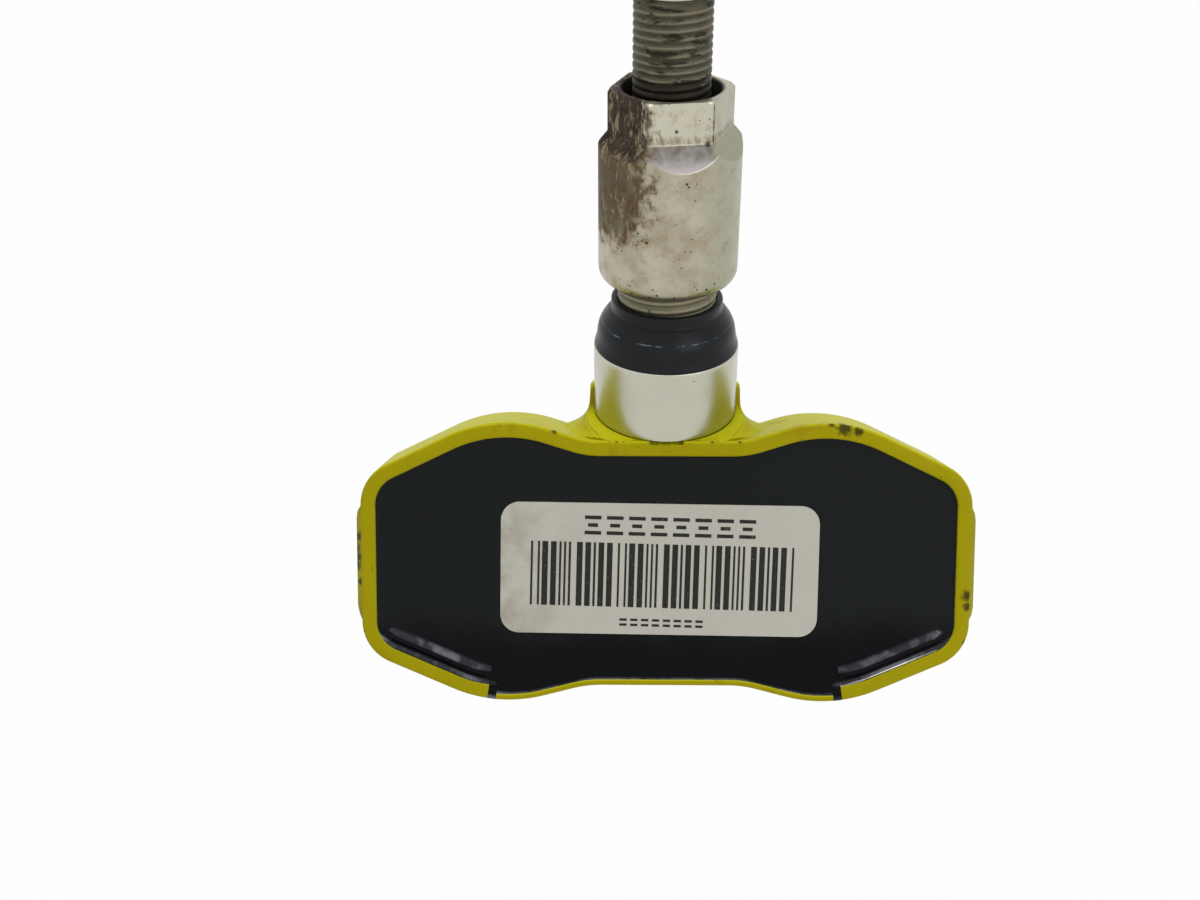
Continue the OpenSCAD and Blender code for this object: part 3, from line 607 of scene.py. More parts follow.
def worn_nickel_nut(nut):
    """Nickel-plated steel, worn and stained: warm grey plating gone blotchy, olive-brown bloom down
    its left side, black crust on the left flat, pits, and a mottled grey milled run-out."""
    material, tree, coords = new_material("worn_nickel_nut")
    split = add_node(tree, "SeparateXYZ", {0: coords})
    x, y, z = split.outputs
    front = add_node(tree, "Math", {0: y, 1: -1.0}, operation="MULTIPLY")
    # angle round the nut in radians, 0 at the front, negative on the left
    turn = add_node(tree, "Math", {0: x, 1: front}, operation="ARCTAN2")
    smooth = {"interpolation_type": "SMOOTHSTEP"}
    round_ = add_node(tree, "Math", {0: turn}, operation="ABSOLUTE")
    # what differs between left and right fades out towards the back, where the angle jumps
    ahead = add_node(tree, "MapRange", {
        "Value": round_, "From Min": 2.9, "From Max": 2.1}, **smooth)

    blotch = add_node(tree, "TexNoise", {
        "Vector": coords, "Scale": per_mm(2.6), "Detail": 7.0, "Roughness": 0.66})
    patch = add_node(tree, "TexNoise", {
        "Vector": coords, "Scale": per_mm(1.3), "Detail": 6.0, "Roughness": 0.6,
        "Distortion": 0.6})
    # streaks run down the nut: noise drawn out along the stem
    drawn = add_node(tree, "Mapping", {"Vector": coords, "Scale": (1.0, 1.0, 0.42)})
    streak = add_node(tree, "TexNoise", {
        "Vector": drawn, "Scale": per_mm(0.8), "Detail": 9.0, "Roughness": 0.74,
        "Distortion": 0.8})
    fine = add_node(tree, "TexNoise", {
        "Vector": coords, "Scale": per_mm(0.4), "Detail": 6.0, "Roughness": 0.7})

    # plating: two warm greys, cooler towards the right, and the front flat painted brighter as a
    # painted reflection
    clouds = add_node(tree, "MapRange", {"Value": blotch, "From Min": 0.38, "From Max": 0.64})
    plating = add_node(tree, "Mix", {
        0: clouds, 6: tuple(nut.nickel), 7: linear("#a0977f")}, data_type="RGBA")
    cooler = add_node(tree, "MapRange", {
        "Value": turn, "From Min": 0.15, "From Max": 0.9, "To Max": 0.6}, **smooth)
    cool = add_node(tree, "Math", {0: cooler, 1: ahead}, operation="MULTIPLY")
    right = add_node(tree, "Mix", {0: cool, 6: plating, 7: linear("#a3a591")}, data_type="RGBA")
    flats = add_node(tree, "MapRange", {
        "Value": z, "From Min": 19.3 * MM, "From Max": 19.7 * MM, "To Max": 0.75}, **smooth)
    front_share = add_node(tree, "MapRange", {
        "Value": round_, "From Min": 0.66, "From Max": 0.7, "To Min": 1.0, "To Max": 0.15},
        **smooth)
    # painted reflection: the flat that faces the front is painted paler than the others
    painted_flat_light = add_node(tree, "Math", {0: flats, 1: front_share}, operation="MULTIPLY")
    silver_with_painted_flat_light = add_node(tree, "Mix", {
        0: painted_flat_light, 6: right, 7: linear("#cbc9b6")}, data_type="RGBA")
    # pinkish patches where the plating has thinned
    thin = add_node(tree, "MapRange", {
        "Value": patch, "From Min": 0.55, "From Max": 0.6, "To Max": 0.45})
    bright = add_node(tree, "Mix", {0: thin, 6: silver_with_painted_flat_light, 7: linear("#a8937f")}, data_type="RGBA")

    # milled run-out of the flats: it faces upwards under the hexagon
    facing = add_node(tree, "SeparateXYZ", {
        0: add_node(tree, "NewGeometry").outputs["True Normal"]})
    upward = add_node(tree, "MapRange", {
        "Value": facing.outputs["Z"], "From Min": 0.35, "From Max": 0.5})
    under = add_node(tree, "MapRange", {
        "Value": z, "From Min": 19.65 * MM, "From Max": 19.75 * MM, "To Min": 1.0, "To Max": 0.0})
    milled = add_node(tree, "Math", {0: upward, 1: under}, operation="MULTIPLY")
    # grey and mottled in front, olive on the slopes beside it
    mottle = add_node(tree, "MapRange", {"Value": patch, "From Min": 0.38, "From Max": 0.62})
    milling = add_node(tree, "Mix", {
        0: mottle, 6: linear("#8b8683"), 7: linear("#6a645c")}, data_type="RGBA")
    paler = add_node(tree, "MapRange", {
        "Value": z, "From Min": 18.9 * MM, "From Max": 17.3 * MM, "To Max": 0.75}, **smooth)
    middle = add_node(tree, "Mix", {0: paler, 6: milling, 7: linear("#b5afae")}, data_type="RGBA")
    beside = add_node(tree, "MapRange", {"Value": round_, "From Min": 0.6, "From Max": 0.7})
    ground = add_node(tree, "Mix", {0: beside, 6: middle, 7: linear("#97957f")}, data_type="RGBA")
    runout = add_node(tree, "Mix", {0: milled, 6: bright, 7: ground}, data_type="RGBA")

    # olive-brown bloom on the left, thinning out towards the front and the foot
    leftward = add_node(tree, "MapRange", {
        "Value": turn, "From Min": 0.05, "From Max": -1.0}, **smooth)
    higher = add_node(tree, "MapRange", {
        "Value": z, "From Min": 6.5 * MM, "From Max": 13.5 * MM}, **smooth)
    left_front = add_node(tree, "Math", {0: leftward, 1: ahead}, operation="MULTIPLY")
    share = add_node(tree, "Math", {0: left_front, 1: higher}, operation="MULTIPLY")
    cloudy = add_node(tree, "Math", {0: patch, 1: 1.1, 2: share}, operation="MULTIPLY_ADD")
    streaked = add_node(tree, "Math", {0: streak, 1: 0.8, 2: cloudy}, operation="MULTIPLY_ADD")
    stain_mask = add_node(tree, "MapRange", {
        "Value": streaked, "From Min": 1.1, "From Max": 1.5, "To Max": 0.9}, **smooth)
    brown = add_node(tree, "Mix", {
        0: add_node(tree, "MapRange", {"Value": streaked, "From Min": 1.3, "From Max": 1.9}),
        6: linear("#706849"), 7: tuple(nut.stain)}, data_type="RGBA")
    # rust in patches, and beige flecks where the bloom has flaked off
    rust = add_node(tree, "MapRange", {
        "Value": patch, "From Min": 0.48, "From Max": 0.6, "To Max": 0.8})
    rusty_brown = add_node(tree, "Mix", {0: rust, 6: brown, 7: linear("#573c20")}, data_type="RGBA")
    fleck = add_node(tree, "MapRange", {
        "Value": streak, "From Min": 0.46, "From Max": 0.37, "To Max": 0.8})
    flaked = add_node(tree, "Mix", {
        0: fleck, 6: rusty_brown, 7: linear("#a39a7c")}, data_type="RGBA")
    stained = add_node(tree, "Mix", {0: stain_mask, 6: runout, 7: flaked}, data_type="RGBA")
    # rust that has run down the front flat to its foot
    foot = add_node(tree, "MapRange", {
        "Value": z, "From Min": 21.6 * MM, "From Max": 19.9 * MM, "To Max": 0.5}, **smooth)
    above_foot = add_node(tree, "MapRange", {
        "Value": z, "From Min": 19.2 * MM, "From Max": 19.7 * MM})
    run = add_node(tree, "Math", {0: foot, 1: above_foot}, operation="MULTIPLY")
    rusty = add_node(tree, "Math", {0: streak, 1: 1.2, 2: run}, operation="MULTIPLY_ADD")
    rust_mask = add_node(tree, "MapRange", {
        "Value": rusty, "From Min": 0.98, "From Max": 1.2, "To Max": 0.8})
    rusted = add_node(tree, "Mix", {
        0: rust_mask, 6: stained, 7: linear("#7d7150")}, data_type="RGBA")
    # a dark line along the corner right of the front flat
    aside = add_node(tree, "Math", {
        0: add_node(tree, "Math", {0: turn, 1: math.radians(38.4)}, operation="SUBTRACT")},
        operation="ABSOLUTE")
    line = add_node(tree, "MapRange", {
        "Value": aside, "From Min": 0.006, "From Max": 0.02, "To Min": 0.8, "To Max": 0.0})
    broken = add_node(tree, "MapRange", {"Value": patch, "From Min": 0.42, "From Max": 0.52})
    on_flats = add_node(tree, "Math", {0: above_foot, 1: broken}, operation="MULTIPLY")
    lined = add_node(tree, "Math", {0: line, 1: on_flats}, operation="MULTIPLY")
    edged = add_node(tree, "Mix", {0: lined, 6: rusted, 7: linear("#2f2a1d")}, data_type="RGBA")

    # black crust on the left flat and over its shoulder, with roots creeping past the corner
    corner = add_node(tree, "MapRange", {
        "Value": turn, "From Min": 0.1, "From Max": -0.62}, **smooth)
    above = add_node(tree, "MapRange", {
        "Value": z, "From Min": 15.6 * MM, "From Max": 18.6 * MM}, **smooth)
    left_corner = add_node(tree, "Math", {0: corner, 1: ahead}, operation="MULTIPLY")
    crust_share = add_node(tree, "Math", {0: left_corner, 1: above}, operation="MULTIPLY")
    crusty = add_node(tree, "Math", {0: streak, 1: 1.9, 2: crust_share}, operation="MULTIPLY_ADD")
    crust_mask = add_node(tree, "MapRange", {
        "Value": crusty, "From Min": 1.8, "From Max": 1.92, "To Max": 0.95})
    black = add_node(tree, "Mix", {
        0: mottle, 6: tuple(nut.crust), 7: linear("#46372a")}, data_type="RGBA")
    crusted = add_node(tree, "Mix", {0: crust_mask, 6: edged, 7: black}, data_type="RGBA")

    # pits through the plating, crowded at the foot, and single dark nicks
    pit = add_node(tree, "TexVoronoi", {"Vector": coords, "Scale": per_mm(0.75)})
    crowd = add_node(tree, "MapRange", {
        "Value": z, "From Min": 6.0 * MM, "From Max": 3.9 * MM, "To Max": 0.14}, **smooth)
    scatter = add_node(tree, "Math", {0: blotch, 1: 0.39, 2: crowd}, operation="MULTIPLY_ADD")
    pit_edge = add_node(tree, "Math", {0: pit, 1: scatter}, operation="SUBTRACT")
    pit_mask = add_node(tree, "MapRange", {
        "Value": pit_edge, "From Min": -0.125, "From Max": -0.09, "To Min": 0.85, "To Max": 0.0})
    nicks = spots(tree, coords, fine, NUT_NICKS, pit_mask)
    # ragged grime round the foot's edge
    ragged = add_node(tree, "Math", {0: fine, 1: 1.8 * MM, 2: z}, operation="MULTIPLY_ADD")
    grime = add_node(tree, "MapRange", {
        "Value": ragged, "From Min": 4.95 * MM, "From Max": 4.75 * MM, "To Max": 0.8})
    marked = add_node(tree, "Math", {0: nicks, 1: grime}, operation="MAXIMUM")
    nicked = add_node(tree, "Mix", {0: marked, 6: crusted, 7: linear("#2f2618")}, data_type="RGBA")

    # painted shade: the mouth is painted near black round the thread for the shade inside it, and
    # made rougher and less metallic
    off_axis = add_node(tree, "VectorMath", {0: coords, 1: (1.0, 1.0, 0.0)}, operation="MULTIPLY")
    radius = add_node(tree, "VectorMath", {0: off_axis}, operation="LENGTH")
    mouth = add_node(tree, "MapRange", {
        "Value": radius, "From Min": 5.0 * MM, "From Max": 5.35 * MM, "To Min": 0.95,
        "To Max": 0.0})
    colour = add_node(tree, "Mix", {0: mouth, 6: nicked, 7: linear("#1b1813")}, data_type="RGBA")
    dull = add_node(tree, "Math", {0: stain_mask, 1: crust_mask}, operation="MAXIMUM")
    grimy = add_node(tree, "Math", {0: dull, 1: grime}, operation="MAXIMUM")
    matt_share = add_node(tree, "Math", {0: grimy, 1: mouth}, operation="MAXIMUM")
    metal = add_node(tree, "MapRange", {"Value": matt_share, "To Min": 1.0, "To Max": 0.3})
    rough = add_node(tree, "MapRange", {"Value": matt_share, "To Min": 0.36, "To Max": 0.7})
    relief = add_node(tree, "Math", {0: crust_mask, 1: 0.9, 2: patch}, operation="MULTIPLY_ADD")
    bump = add_node(tree, "Bump", {"Strength": 0.3, "Distance": 0.05 * MM, "Height": relief})
    surface = add_node(tree, "BsdfPrincipled", {
        "Base Color": colour, "Metallic": metal, "Roughness": rough, "Specular IOR Level": 0.25,
        "Normal": bump})
    add_node(tree, "OutputMaterial", {0: surface})
    return material


# Dark nicks on the nut: place and size in millimetres
NUT_NICKS = [((0.35, -5.45, 20.9), 0.34), ((3.4, -5.0, 19.5), 0.62), ((3.1, -5.3, 22.3), 0.26),
             ((3.5, -5.1, 22.0), 0.22), ((1.4, -7.05, 16.2), 0.26), ((1.6, -7.0, 15.9), 0.2),
             ((-2.4, -6.8, 10.0), 0.3), ((-3.2, -6.4, 10.9), 0.26), ((3.55, -4.95, 21.0), 0.2)]


def moulded_rubber(grommet):
    """EPDM rubber, moulded: bluish black satin with a soft bloom, and pale broken dashes painted
    along the moulding edge as painted glints."""
    material, tree, coords = new_material("moulded_rubber")
    split = add_node(tree, "SeparateXYZ", {0: coords})
    bloom = add_node(tree, "TexNoise", {
        "Vector": coords, "Scale": per_mm(2.5), "Detail": 5.0, "Roughness": 0.6})
    colour = add_node(tree, "Mix", {
        0: bloom, 6: tuple(grommet.rubber), 7: linear("#1c2024")}, data_type="RGBA")
    skin = add_node(tree, "TexNoise", {"Vector": coords, "Scale": per_mm(0.25), "Detail": 3.0})
    # painted highlight: broken pale dashes along the moulding edge, 1.33 mm under the seat, paint
    # its glints
    off = add_node(tree, "Math", {0: split.outputs["Z"], 1: 1.33 * MM}, operation="ADD")
    beside = add_node(tree, "Math", {0: off}, operation="ABSOLUTE")
    line = add_node(tree, "MapRange", {
        "Value": beside, "From Min": 0.03 * MM, "From Max": 0.09 * MM, "To Min": 1.0,
        "To Max": 0.0})
    dash = add_node(tree, "TexNoise", {
        "Vector": coords, "Scale": per_mm(2.2), "Detail": 4.0, "Roughness": 0.6})
    broken = add_node(tree, "MapRange", {"Value": dash, "From Min": 0.5, "From Max": 0.62})
    painted_glint_dashes = add_node(tree, "Math", {0: line, 1: broken}, operation="MULTIPLY")
    flecked = add_node(tree, "Mix", {0: painted_glint_dashes, 6: colour, 7: linear("#66727a")}, data_type="RGBA")
    rough = add_node(tree, "MapRange", {"Value": bloom, "To Min": 0.2, "To Max": 0.4})
    bump = add_node(tree, "Bump", {"Strength": 0.2, "Distance": 0.02 * MM, "Height": skin})
    surface = add_node(tree, "BsdfPrincipled", {
        "Base Color": flecked, "Roughness": rough, "IOR": 1.5, "Specular IOR Level": 0.14,
        "Normal": bump})
    add_node(tree, "OutputMaterial", {0: surface})
    return material


def plain_finish(name, code, other, metallic, roughness, grain, relief, level=0.5):
    """A finish of two close shades over a fine grain, for a part inside, which its name says."""
    material, tree, coords = new_material(name)
    cloud = add_node(tree, "TexNoise", {
        "Vector": coords, "Scale": per_mm(grain), "Detail": 5.0, "Roughness": 0.6})
    colour = add_node(tree, "Mix", {0: cloud, 6: linear(code), 7: linear(other)}, data_type="RGBA")
    bump = add_node(tree, "Bump", {"Strength": relief, "Distance": 0.03 * MM, "Height": cloud})
    surface = add_node(tree, "BsdfPrincipled", {
        "Base Color": colour, "Metallic": metallic, "Roughness": roughness,
        "Specular IOR Level": level, "Normal": bump})
    add_node(tree, "OutputMaterial", {0: surface})
    return material


# Pieces

def tray_shell(tray):
    """The tray's skin in rings round its outline: back, rounded edge, wall, pads, rim, inside."""
    points, normals = tray_outline(tray)
    in_slot, width = slot_state(points, tray)
    depth, back, edge = tray.depth / MM, tray.back_round / MM, tray.edge / MM
    pad_mid = WAIST_TOP - tray.height / MM / 2
    pad = tray.pad / MM * np.clip(PAD_HEIGHT / 2 + 1 - np.abs(points[:, 1] - pad_mid), 0, 1)
    pad = np.where(np.abs(points[:, 0]) > tray.width / MM / 2 - 0.5, pad, 0.0)
    zero = np.zeros(len(points))
    rim_z = np.where(in_slot, -SLOT_D, 0.0)
    rows = []
    for a in np.linspace(0, 90, 9):
        rows.append((zero - back * (1 - math.sin(math.radians(a))),
                     zero - depth + back * (1 - math.cos(math.radians(a)))))
    rows += [(pad * 0.15, zero - depth + back + 0.15), (pad * 0.85, zero - depth + back + 0.6),
             (pad, zero - depth + back + 1.0), (pad, zero - 6.0), (pad, zero - 2.2),
             (pad, zero - 1.3), (pad * 0.85, zero - 1.0), (pad * 0.1, zero - 0.6)]
    for a in np.linspace(0, 90, 6):
        s, c = math.sin(math.radians(a)), math.cos(math.radians(a))
        rows.append((zero - edge * (1 - c), np.minimum(rim_z, zero - edge * (1 - s))))
    inner = np.minimum(0.22, width * 0.3)
    for a in np.linspace(90, 0, 5):
        s, c = math.sin(math.radians(a)), math.cos(math.radians(a))
        rows.append((-width + inner * (1 - c), np.minimum(rim_z, zero - inner * (1 - s))))
    rows.append((-width - 0.02, zero - 2.4))
    rings = []
    for g, z in rows:
        flat = points + normals * np.asarray(g)[:, None]
        rings.append(np.column_stack([flat, z]))
    count = len(points)
    faces = ring_faces(count, len(rings))
    # the back is pierced by the dished pressure port
    around = np.linspace(0, 2 * math.pi, PORT_POINTS, endpoint=False)
    port = [np.column_stack([PORT_X + r * np.cos(around), pad_mid + r * np.sin(around),
                             np.full(PORT_POINTS, up - depth)])
            for r, up in ((DISH_R, 0.0), (DISH_R, 0.5), (PORT_R, 0.5), (PORT_R, 3.2))]
    start = count * len(rings)
    loops = [[Vector((p[0], p[1], 0.0)) for p in rings[0]],
             [Vector((p[0], p[1], 0.0)) for p in port[0]]]
    for corners in tessellate_polygon(loops):
        faces.append(tuple(i if i < count else start + i - count for i in corners))
    faces += ring_faces(PORT_POINTS, len(port), start=start)
    return with_gap(on_tray(np.concatenate(rings + port))), faces


def cradle_top_edge(y):
    """Height of the cradle's upper edge where its wall stands at y: foot, ear, fall to the back."""
    floor, foot, front, ear, top = -12.15, -1.6, -0.4, 0.8, -9.4
    y = np.asarray(y, float)
    t = np.clip((y - foot) / (front - foot), 0, 1)
    swept = floor + (front - foot) * (1 - np.sqrt(np.clip(1 - t * t, 0, 1)))
    e = np.clip((y - front) / ear, 0, 1)
    risen = top - ear * (1 - np.sqrt(np.clip(1 - (1 - e) ** 2, 0, 1)))
    fallen = top - math.tan(math.radians(17)) * np.clip(y - front - ear, 0, 99)
    blend = smooth_step(y, front - 0.15, front + 0.05)
    return swept * (1 - blend) + np.minimum(risen, fallen) * blend


def inward(points, outline):
    """How far points lie inside a closed outline, negative outside."""
    ends = np.roll(outline, -1, axis=0)
    along = ends - outline
    reach = points[:, None, :] - outline[None, :, :]
    t = np.clip((reach * along).sum(-1) / (along ** 2).sum(-1), 0, 1)
    far = np.linalg.norm(reach - t[..., None] * along, axis=-1).min(axis=1)
    y = points[:, 1][:, None]
    crossing = (outline[:, 1] > y) != (ends[:, 1] > y)
    with np.errstate(divide="ignore", invalid="ignore"):
        at = outline[:, 0] + (y - outline[:, 1]) / along[:, 1] * along[:, 0]
    within = (crossing & (points[:, 0][:, None] < at)).sum(axis=1) % 2 == 1
    return np.where(within, far, -far)


def cradle_skin(tray):
    """Cradle and skirt as a height-and-angle grid about the stem, trimmed to the tray."""
    count, steps = 400, 54
    # the angles stand closer where the ears begin
    even = np.linspace(0, 2 * math.pi, count, endpoint=False)
    angles = even - 0.35 * np.sin(2 * even)
    seat, ear_r, foot_r = 7.7, 8.1, 8.2
    skirt_top, foot_z, drop, reach = -11.3, -24.2, 3.4, 4.2
    top = cradle_top_edge(7.9 * np.sin(angles))
    rings = [(np.full(count, seat), np.full(count, -13.0)),
             (np.full(count, seat), top - 0.06), (np.full(count, seat + 0.03), top - 0.01),
             (np.full(count, seat + 0.12), top)]

    def outer(z):
        above = ear_r + (foot_r - ear_r) * np.clip((-9.4 - z) / 2.1, 0, 1)
        # the hollow sweep runs parallel to the tray's tilted upper wall
        lean = z + math.tan(TILT) * 8.6 * np.sin(angles)
        s = np.clip((skirt_top - lean) / drop, 0, 1)
        spread = reach * (0.35 + 0.65 * smooth_step(np.sin(angles), -0.75, -0.15))
        return np.where(s > 0, foot_r + spread * (1 - np.sqrt(1 - s * s)), above)

    side = np.abs(np.degrees(np.arcsin(np.clip(np.sin(angles), -1, 1))))
    behind = np.where(np.sin(angles) > 0, side, 0)
    off = np.radians(behind - 50)
    at_back = np.sin(angles) > 0
    wall = np.where(at_back & (behind < 50), (foot_r - 0.02) / np.cos(off), foot_r + 99)
    wall = np.where(at_back & (behind >= 50), foot_r, wall)
    for k, t in enumerate(np.linspace(0, 1, steps) ** 1.5):
        z = top + (foot_z - top) * t
        r = outer(z)
        r = np.maximum(np.minimum(r, foot_r), np.where(r > foot_r, smooth_min(r, wall, 0.6), r))
        if k == 0:
            rings.append((r - 0.14, top))
            rings.append((r - 0.04, top - 0.05))
            z = top - 0.14
        rings.append((r, np.minimum(z, top - 0.14)))
    grid = [np.column_stack([r * np.cos(angles), r * np.sin(angles), z]) for r, z in rings]
    points = np.concatenate(grid)
    depth = tray_depth(points)
    # under the resin the cradle stays out of sight, on the rim it stays just below the rim's top
    flat = np.column_stack([points[:, 0], (points - TRAY_ORIGIN) @ TRAY_Y])
    inside = inward(flat, tray_outline(tray)[0])
    highest = -0.1 - 1.3 * smooth_step(inside, 0.25, 0.9)
    lowest = 0.1 - tray.depth / MM
    shift = np.clip(depth, lowest, highest) - depth
    points = with_gap(points + shift[:, None] * TRAY_Z)
    return points, ring_faces(count, len(grid))


def potting_skin(tray, potting):
    """The resin's face: it climbs the wall in a thin creep and runs out through both slots."""
    points, normals = tray_outline(tray)
    in_slot, width = slot_state(points, tray)
    level, creep = -potting.level / MM, potting.creep / MM
    edge = np.where(in_slot, 0.04, width - 0.02)
    low = WAIST_TOP - tray.height / MM
    x, y = points[:, 0], points[:, 1]
    diagonal = smooth_step(np.abs(x), 17.0, 21) * smooth_step(-y, -(low + 5.5), -(low + 2.0))
    climb = creep * (0.35 + 0.65 * diagonal)
    climb = np.where(in_slot, 0.12, climb)
    rings = []
    bead_at, bead_width, trough_at, trough_width = 1.3, 0.52, 0.55, 0.3
    steps = [0.0, 0.05, 0.11, 0.18, 0.26, 0.35, 0.46, 0.58, 0.72, 0.88, 1.05, 1.22, 1.4, 1.6, 1.82,
             2.05, 2.3, 2.6, 2.9]
    for d in steps:
        flat = points - normals * (edge + d)[:, None]
        ridge = potting.ridge / MM * diagonal * np.exp(-((d - bead_at) / bead_width) ** 2)
        trough = -0.16 * diagonal * np.exp(-((d - trough_at) / trough_width) ** 2)
        z = level + climb * math.exp(-d / 0.22) + ridge + trough
        rings.append(np.column_stack([flat, z]))
    rings[-1][:, 2] = level
    count = len(points)
    faces = ring_faces(count, len(rings))
    faces.append(tuple(range((len(rings) - 1) * count, len(rings) * count)))
    skirt = np.column_stack([points - normals * (edge - 0.02)[:, None],
                             np.where(in_slot, -SLOT_D, -2.2)])
    body = np.concatenate(rings + [skirt])
    start = len(rings) * count
    faces += [(i, start + i, start + (i + 1) % count, (i + 1) % count) for i in range(count)]
    return on_tray(body), faces


def label_point(u, v, lift):
    """A point of the label's own plane, from its middle, on the tray."""
    a = math.radians(LABEL_TURN)
    mid = (-0.65, WAIST_TOP - 13.2 - 0.55)
    return (mid[0] + u * math.cos(a) - v * math.sin(a),
            mid[1] + u * math.sin(a) + v * math.cos(a), -0.3 + lift)


def label_sheet(label):
    """The film: a rounded rectangle, lifted by a hair at its edges, in a grid with side walls."""
    w, h, r, t = label.width / MM, label.height / MM, label.corner / MM, label.thickness / MM
    border = []
    for cx, cy, start in ((w / 2 - r, h / 2 - r, 0), (-w / 2 + r, h / 2 - r, 90),
                          (-w / 2 + r, -h / 2 + r, 180), (w / 2 - r, -h / 2 + r, 270)):
        border += arc(cx, cy, r, start, start + 90, 12)
    dense = []
    for i in range(len(border)):
        a, b = np.array(border[i]), np.array(border[(i + 1) % len(border)])
        n = max(1, int(np.linalg.norm(b - a) / 0.6))
        dense += [a + (b - a) * k / n for k in range(n)]
    dense = np.array(dense)
    count = len(dense)
    rings = [(1.0, 0.0), (1.0, t - 0.03), (0.9985, t)]
    rings += [(1 - s, t) for s in (0.01, 0.03, 0.06, 0.1, 0.16, 0.24, 0.34, 0.46, 0.6, 0.76, 0.9,
                                   1.0)]
    points = []
    for scale, lift in rings:
        ring = dense * scale
        wave = 0.012 * wave_noise(ring[:, 0] * 0.5, ring[:, 1] * 0.7, 3) if lift == t else 0
        lifts = np.broadcast_to(lift + wave, (count,))
        points += [label_point(u, v, float(z)) for (u, v), z in zip(ring, lifts)]
    return on_tray(points), ring_faces(count, len(rings))


def label_marks(label):
    """Plain bars and short strokes, as quads just over the film."""
    lift = label.thickness / MM + 0.018
    points, faces = [], []
    c, s = math.cos(math.radians(MARKS_TURN)), math.sin(math.radians(MARKS_TURN))

    def block(u0, v0, u1, v1):
        base = len(points)
        for u, v in ((u0, v0), (u1, v0), (u1, v1), (u0, v1)):
            points.append(label_point(u * c - v * s, u * s + v * c, lift))
        faces.append((base, base + 1, base + 2, base + 3))

    # bars in an even rhythm of thin and broad ones
    u, k, right, foot, top = -13.7, 0, 14.3, -4.15, 2.75
    rhythm = [0.22, 0.22, 0.62, 0.6, 0.22, 0.22, 0.24, 0.62, 0.6, 0.24, 0.6, 0.6]
    gaps = [0.52, 0.24, 0.3, 0.3, 0.28, 0.28, 0.62, 0.28, 0.28, 0.28, 0.3, 0.56]
    while u < right - 0.2:
        wide = rhythm[k % len(rhythm)]
        block(u, foot, min(u + wide, right), top)
        u += wide + gaps[k % len(gaps)]
        k += 1
    # three short lines for each mark of the upper row, two for each of the small row
    for i in range(8):
        u = -8.05 + 2.34 * i
        for k, inset in enumerate((0.0, 0.35, 0.0)):
            block(u + inset, 3.6 + 0.82 * k, u + 1.75 - inset, 3.98 + 0.82 * k)
    for i in range(8):
        u = -4.1 + 1.16 * i
        for k in range(2):
            block(u, -6.2 + 0.55 * k, u + 0.78, -5.94 + 0.55 * k)
    return on_tray(points), faces


def thread_radius(angles, z, crest, pitch, deep, start, end):
    """Radius of a helical thread at a height, and how near it is to the crest, 0 to 1."""
    phase = (z - pitch * angles / (2 * math.pi)) / pitch
    tri = 1 - 2 * np.abs(phase - np.floor(phase) - 0.5)
    near = smooth_step(1 - tri, 0.12, 0.8)
    fade = smooth_step(z, start - 0.3, start + 0.5) * (1 - smooth_step(z, end - 0.5, end + 0.3))
    return crest - deep * (1 - near) * fade, np.where(fade > 0.5, near, 0.6)


def with_air_hole(points, radius):
    """Sinks the air hole into the collar's back: points next to its edge are drawn onto it."""
    p = np.array(points)
    up = p[:, 2] - AIR_HOLE_Z
    from_middle = np.hypot(p[:, 0], up)
    on_wall = (p[:, 1] > 0) & (np.abs(np.hypot(p[:, 0], p[:, 1]) - radius) < 0.01)
    edge = on_wall & (np.abs(from_middle - AIR_HOLE_R) < 0.1)
    sunk = on_wall & (from_middle < AIR_HOLE_R - 0.1)
    share = AIR_HOLE_R / np.where(edge, from_middle, 1.0)
    p[edge, 0] *= share[edge]
    p[edge, 2] = AIR_HOLE_Z + up[edge] * share[edge]
    p[edge, 1] = np.sqrt(radius ** 2 - p[edge, 0] ** 2)
    p[sunk, 1] -= AIR_HOLE_DEPTH
    return p


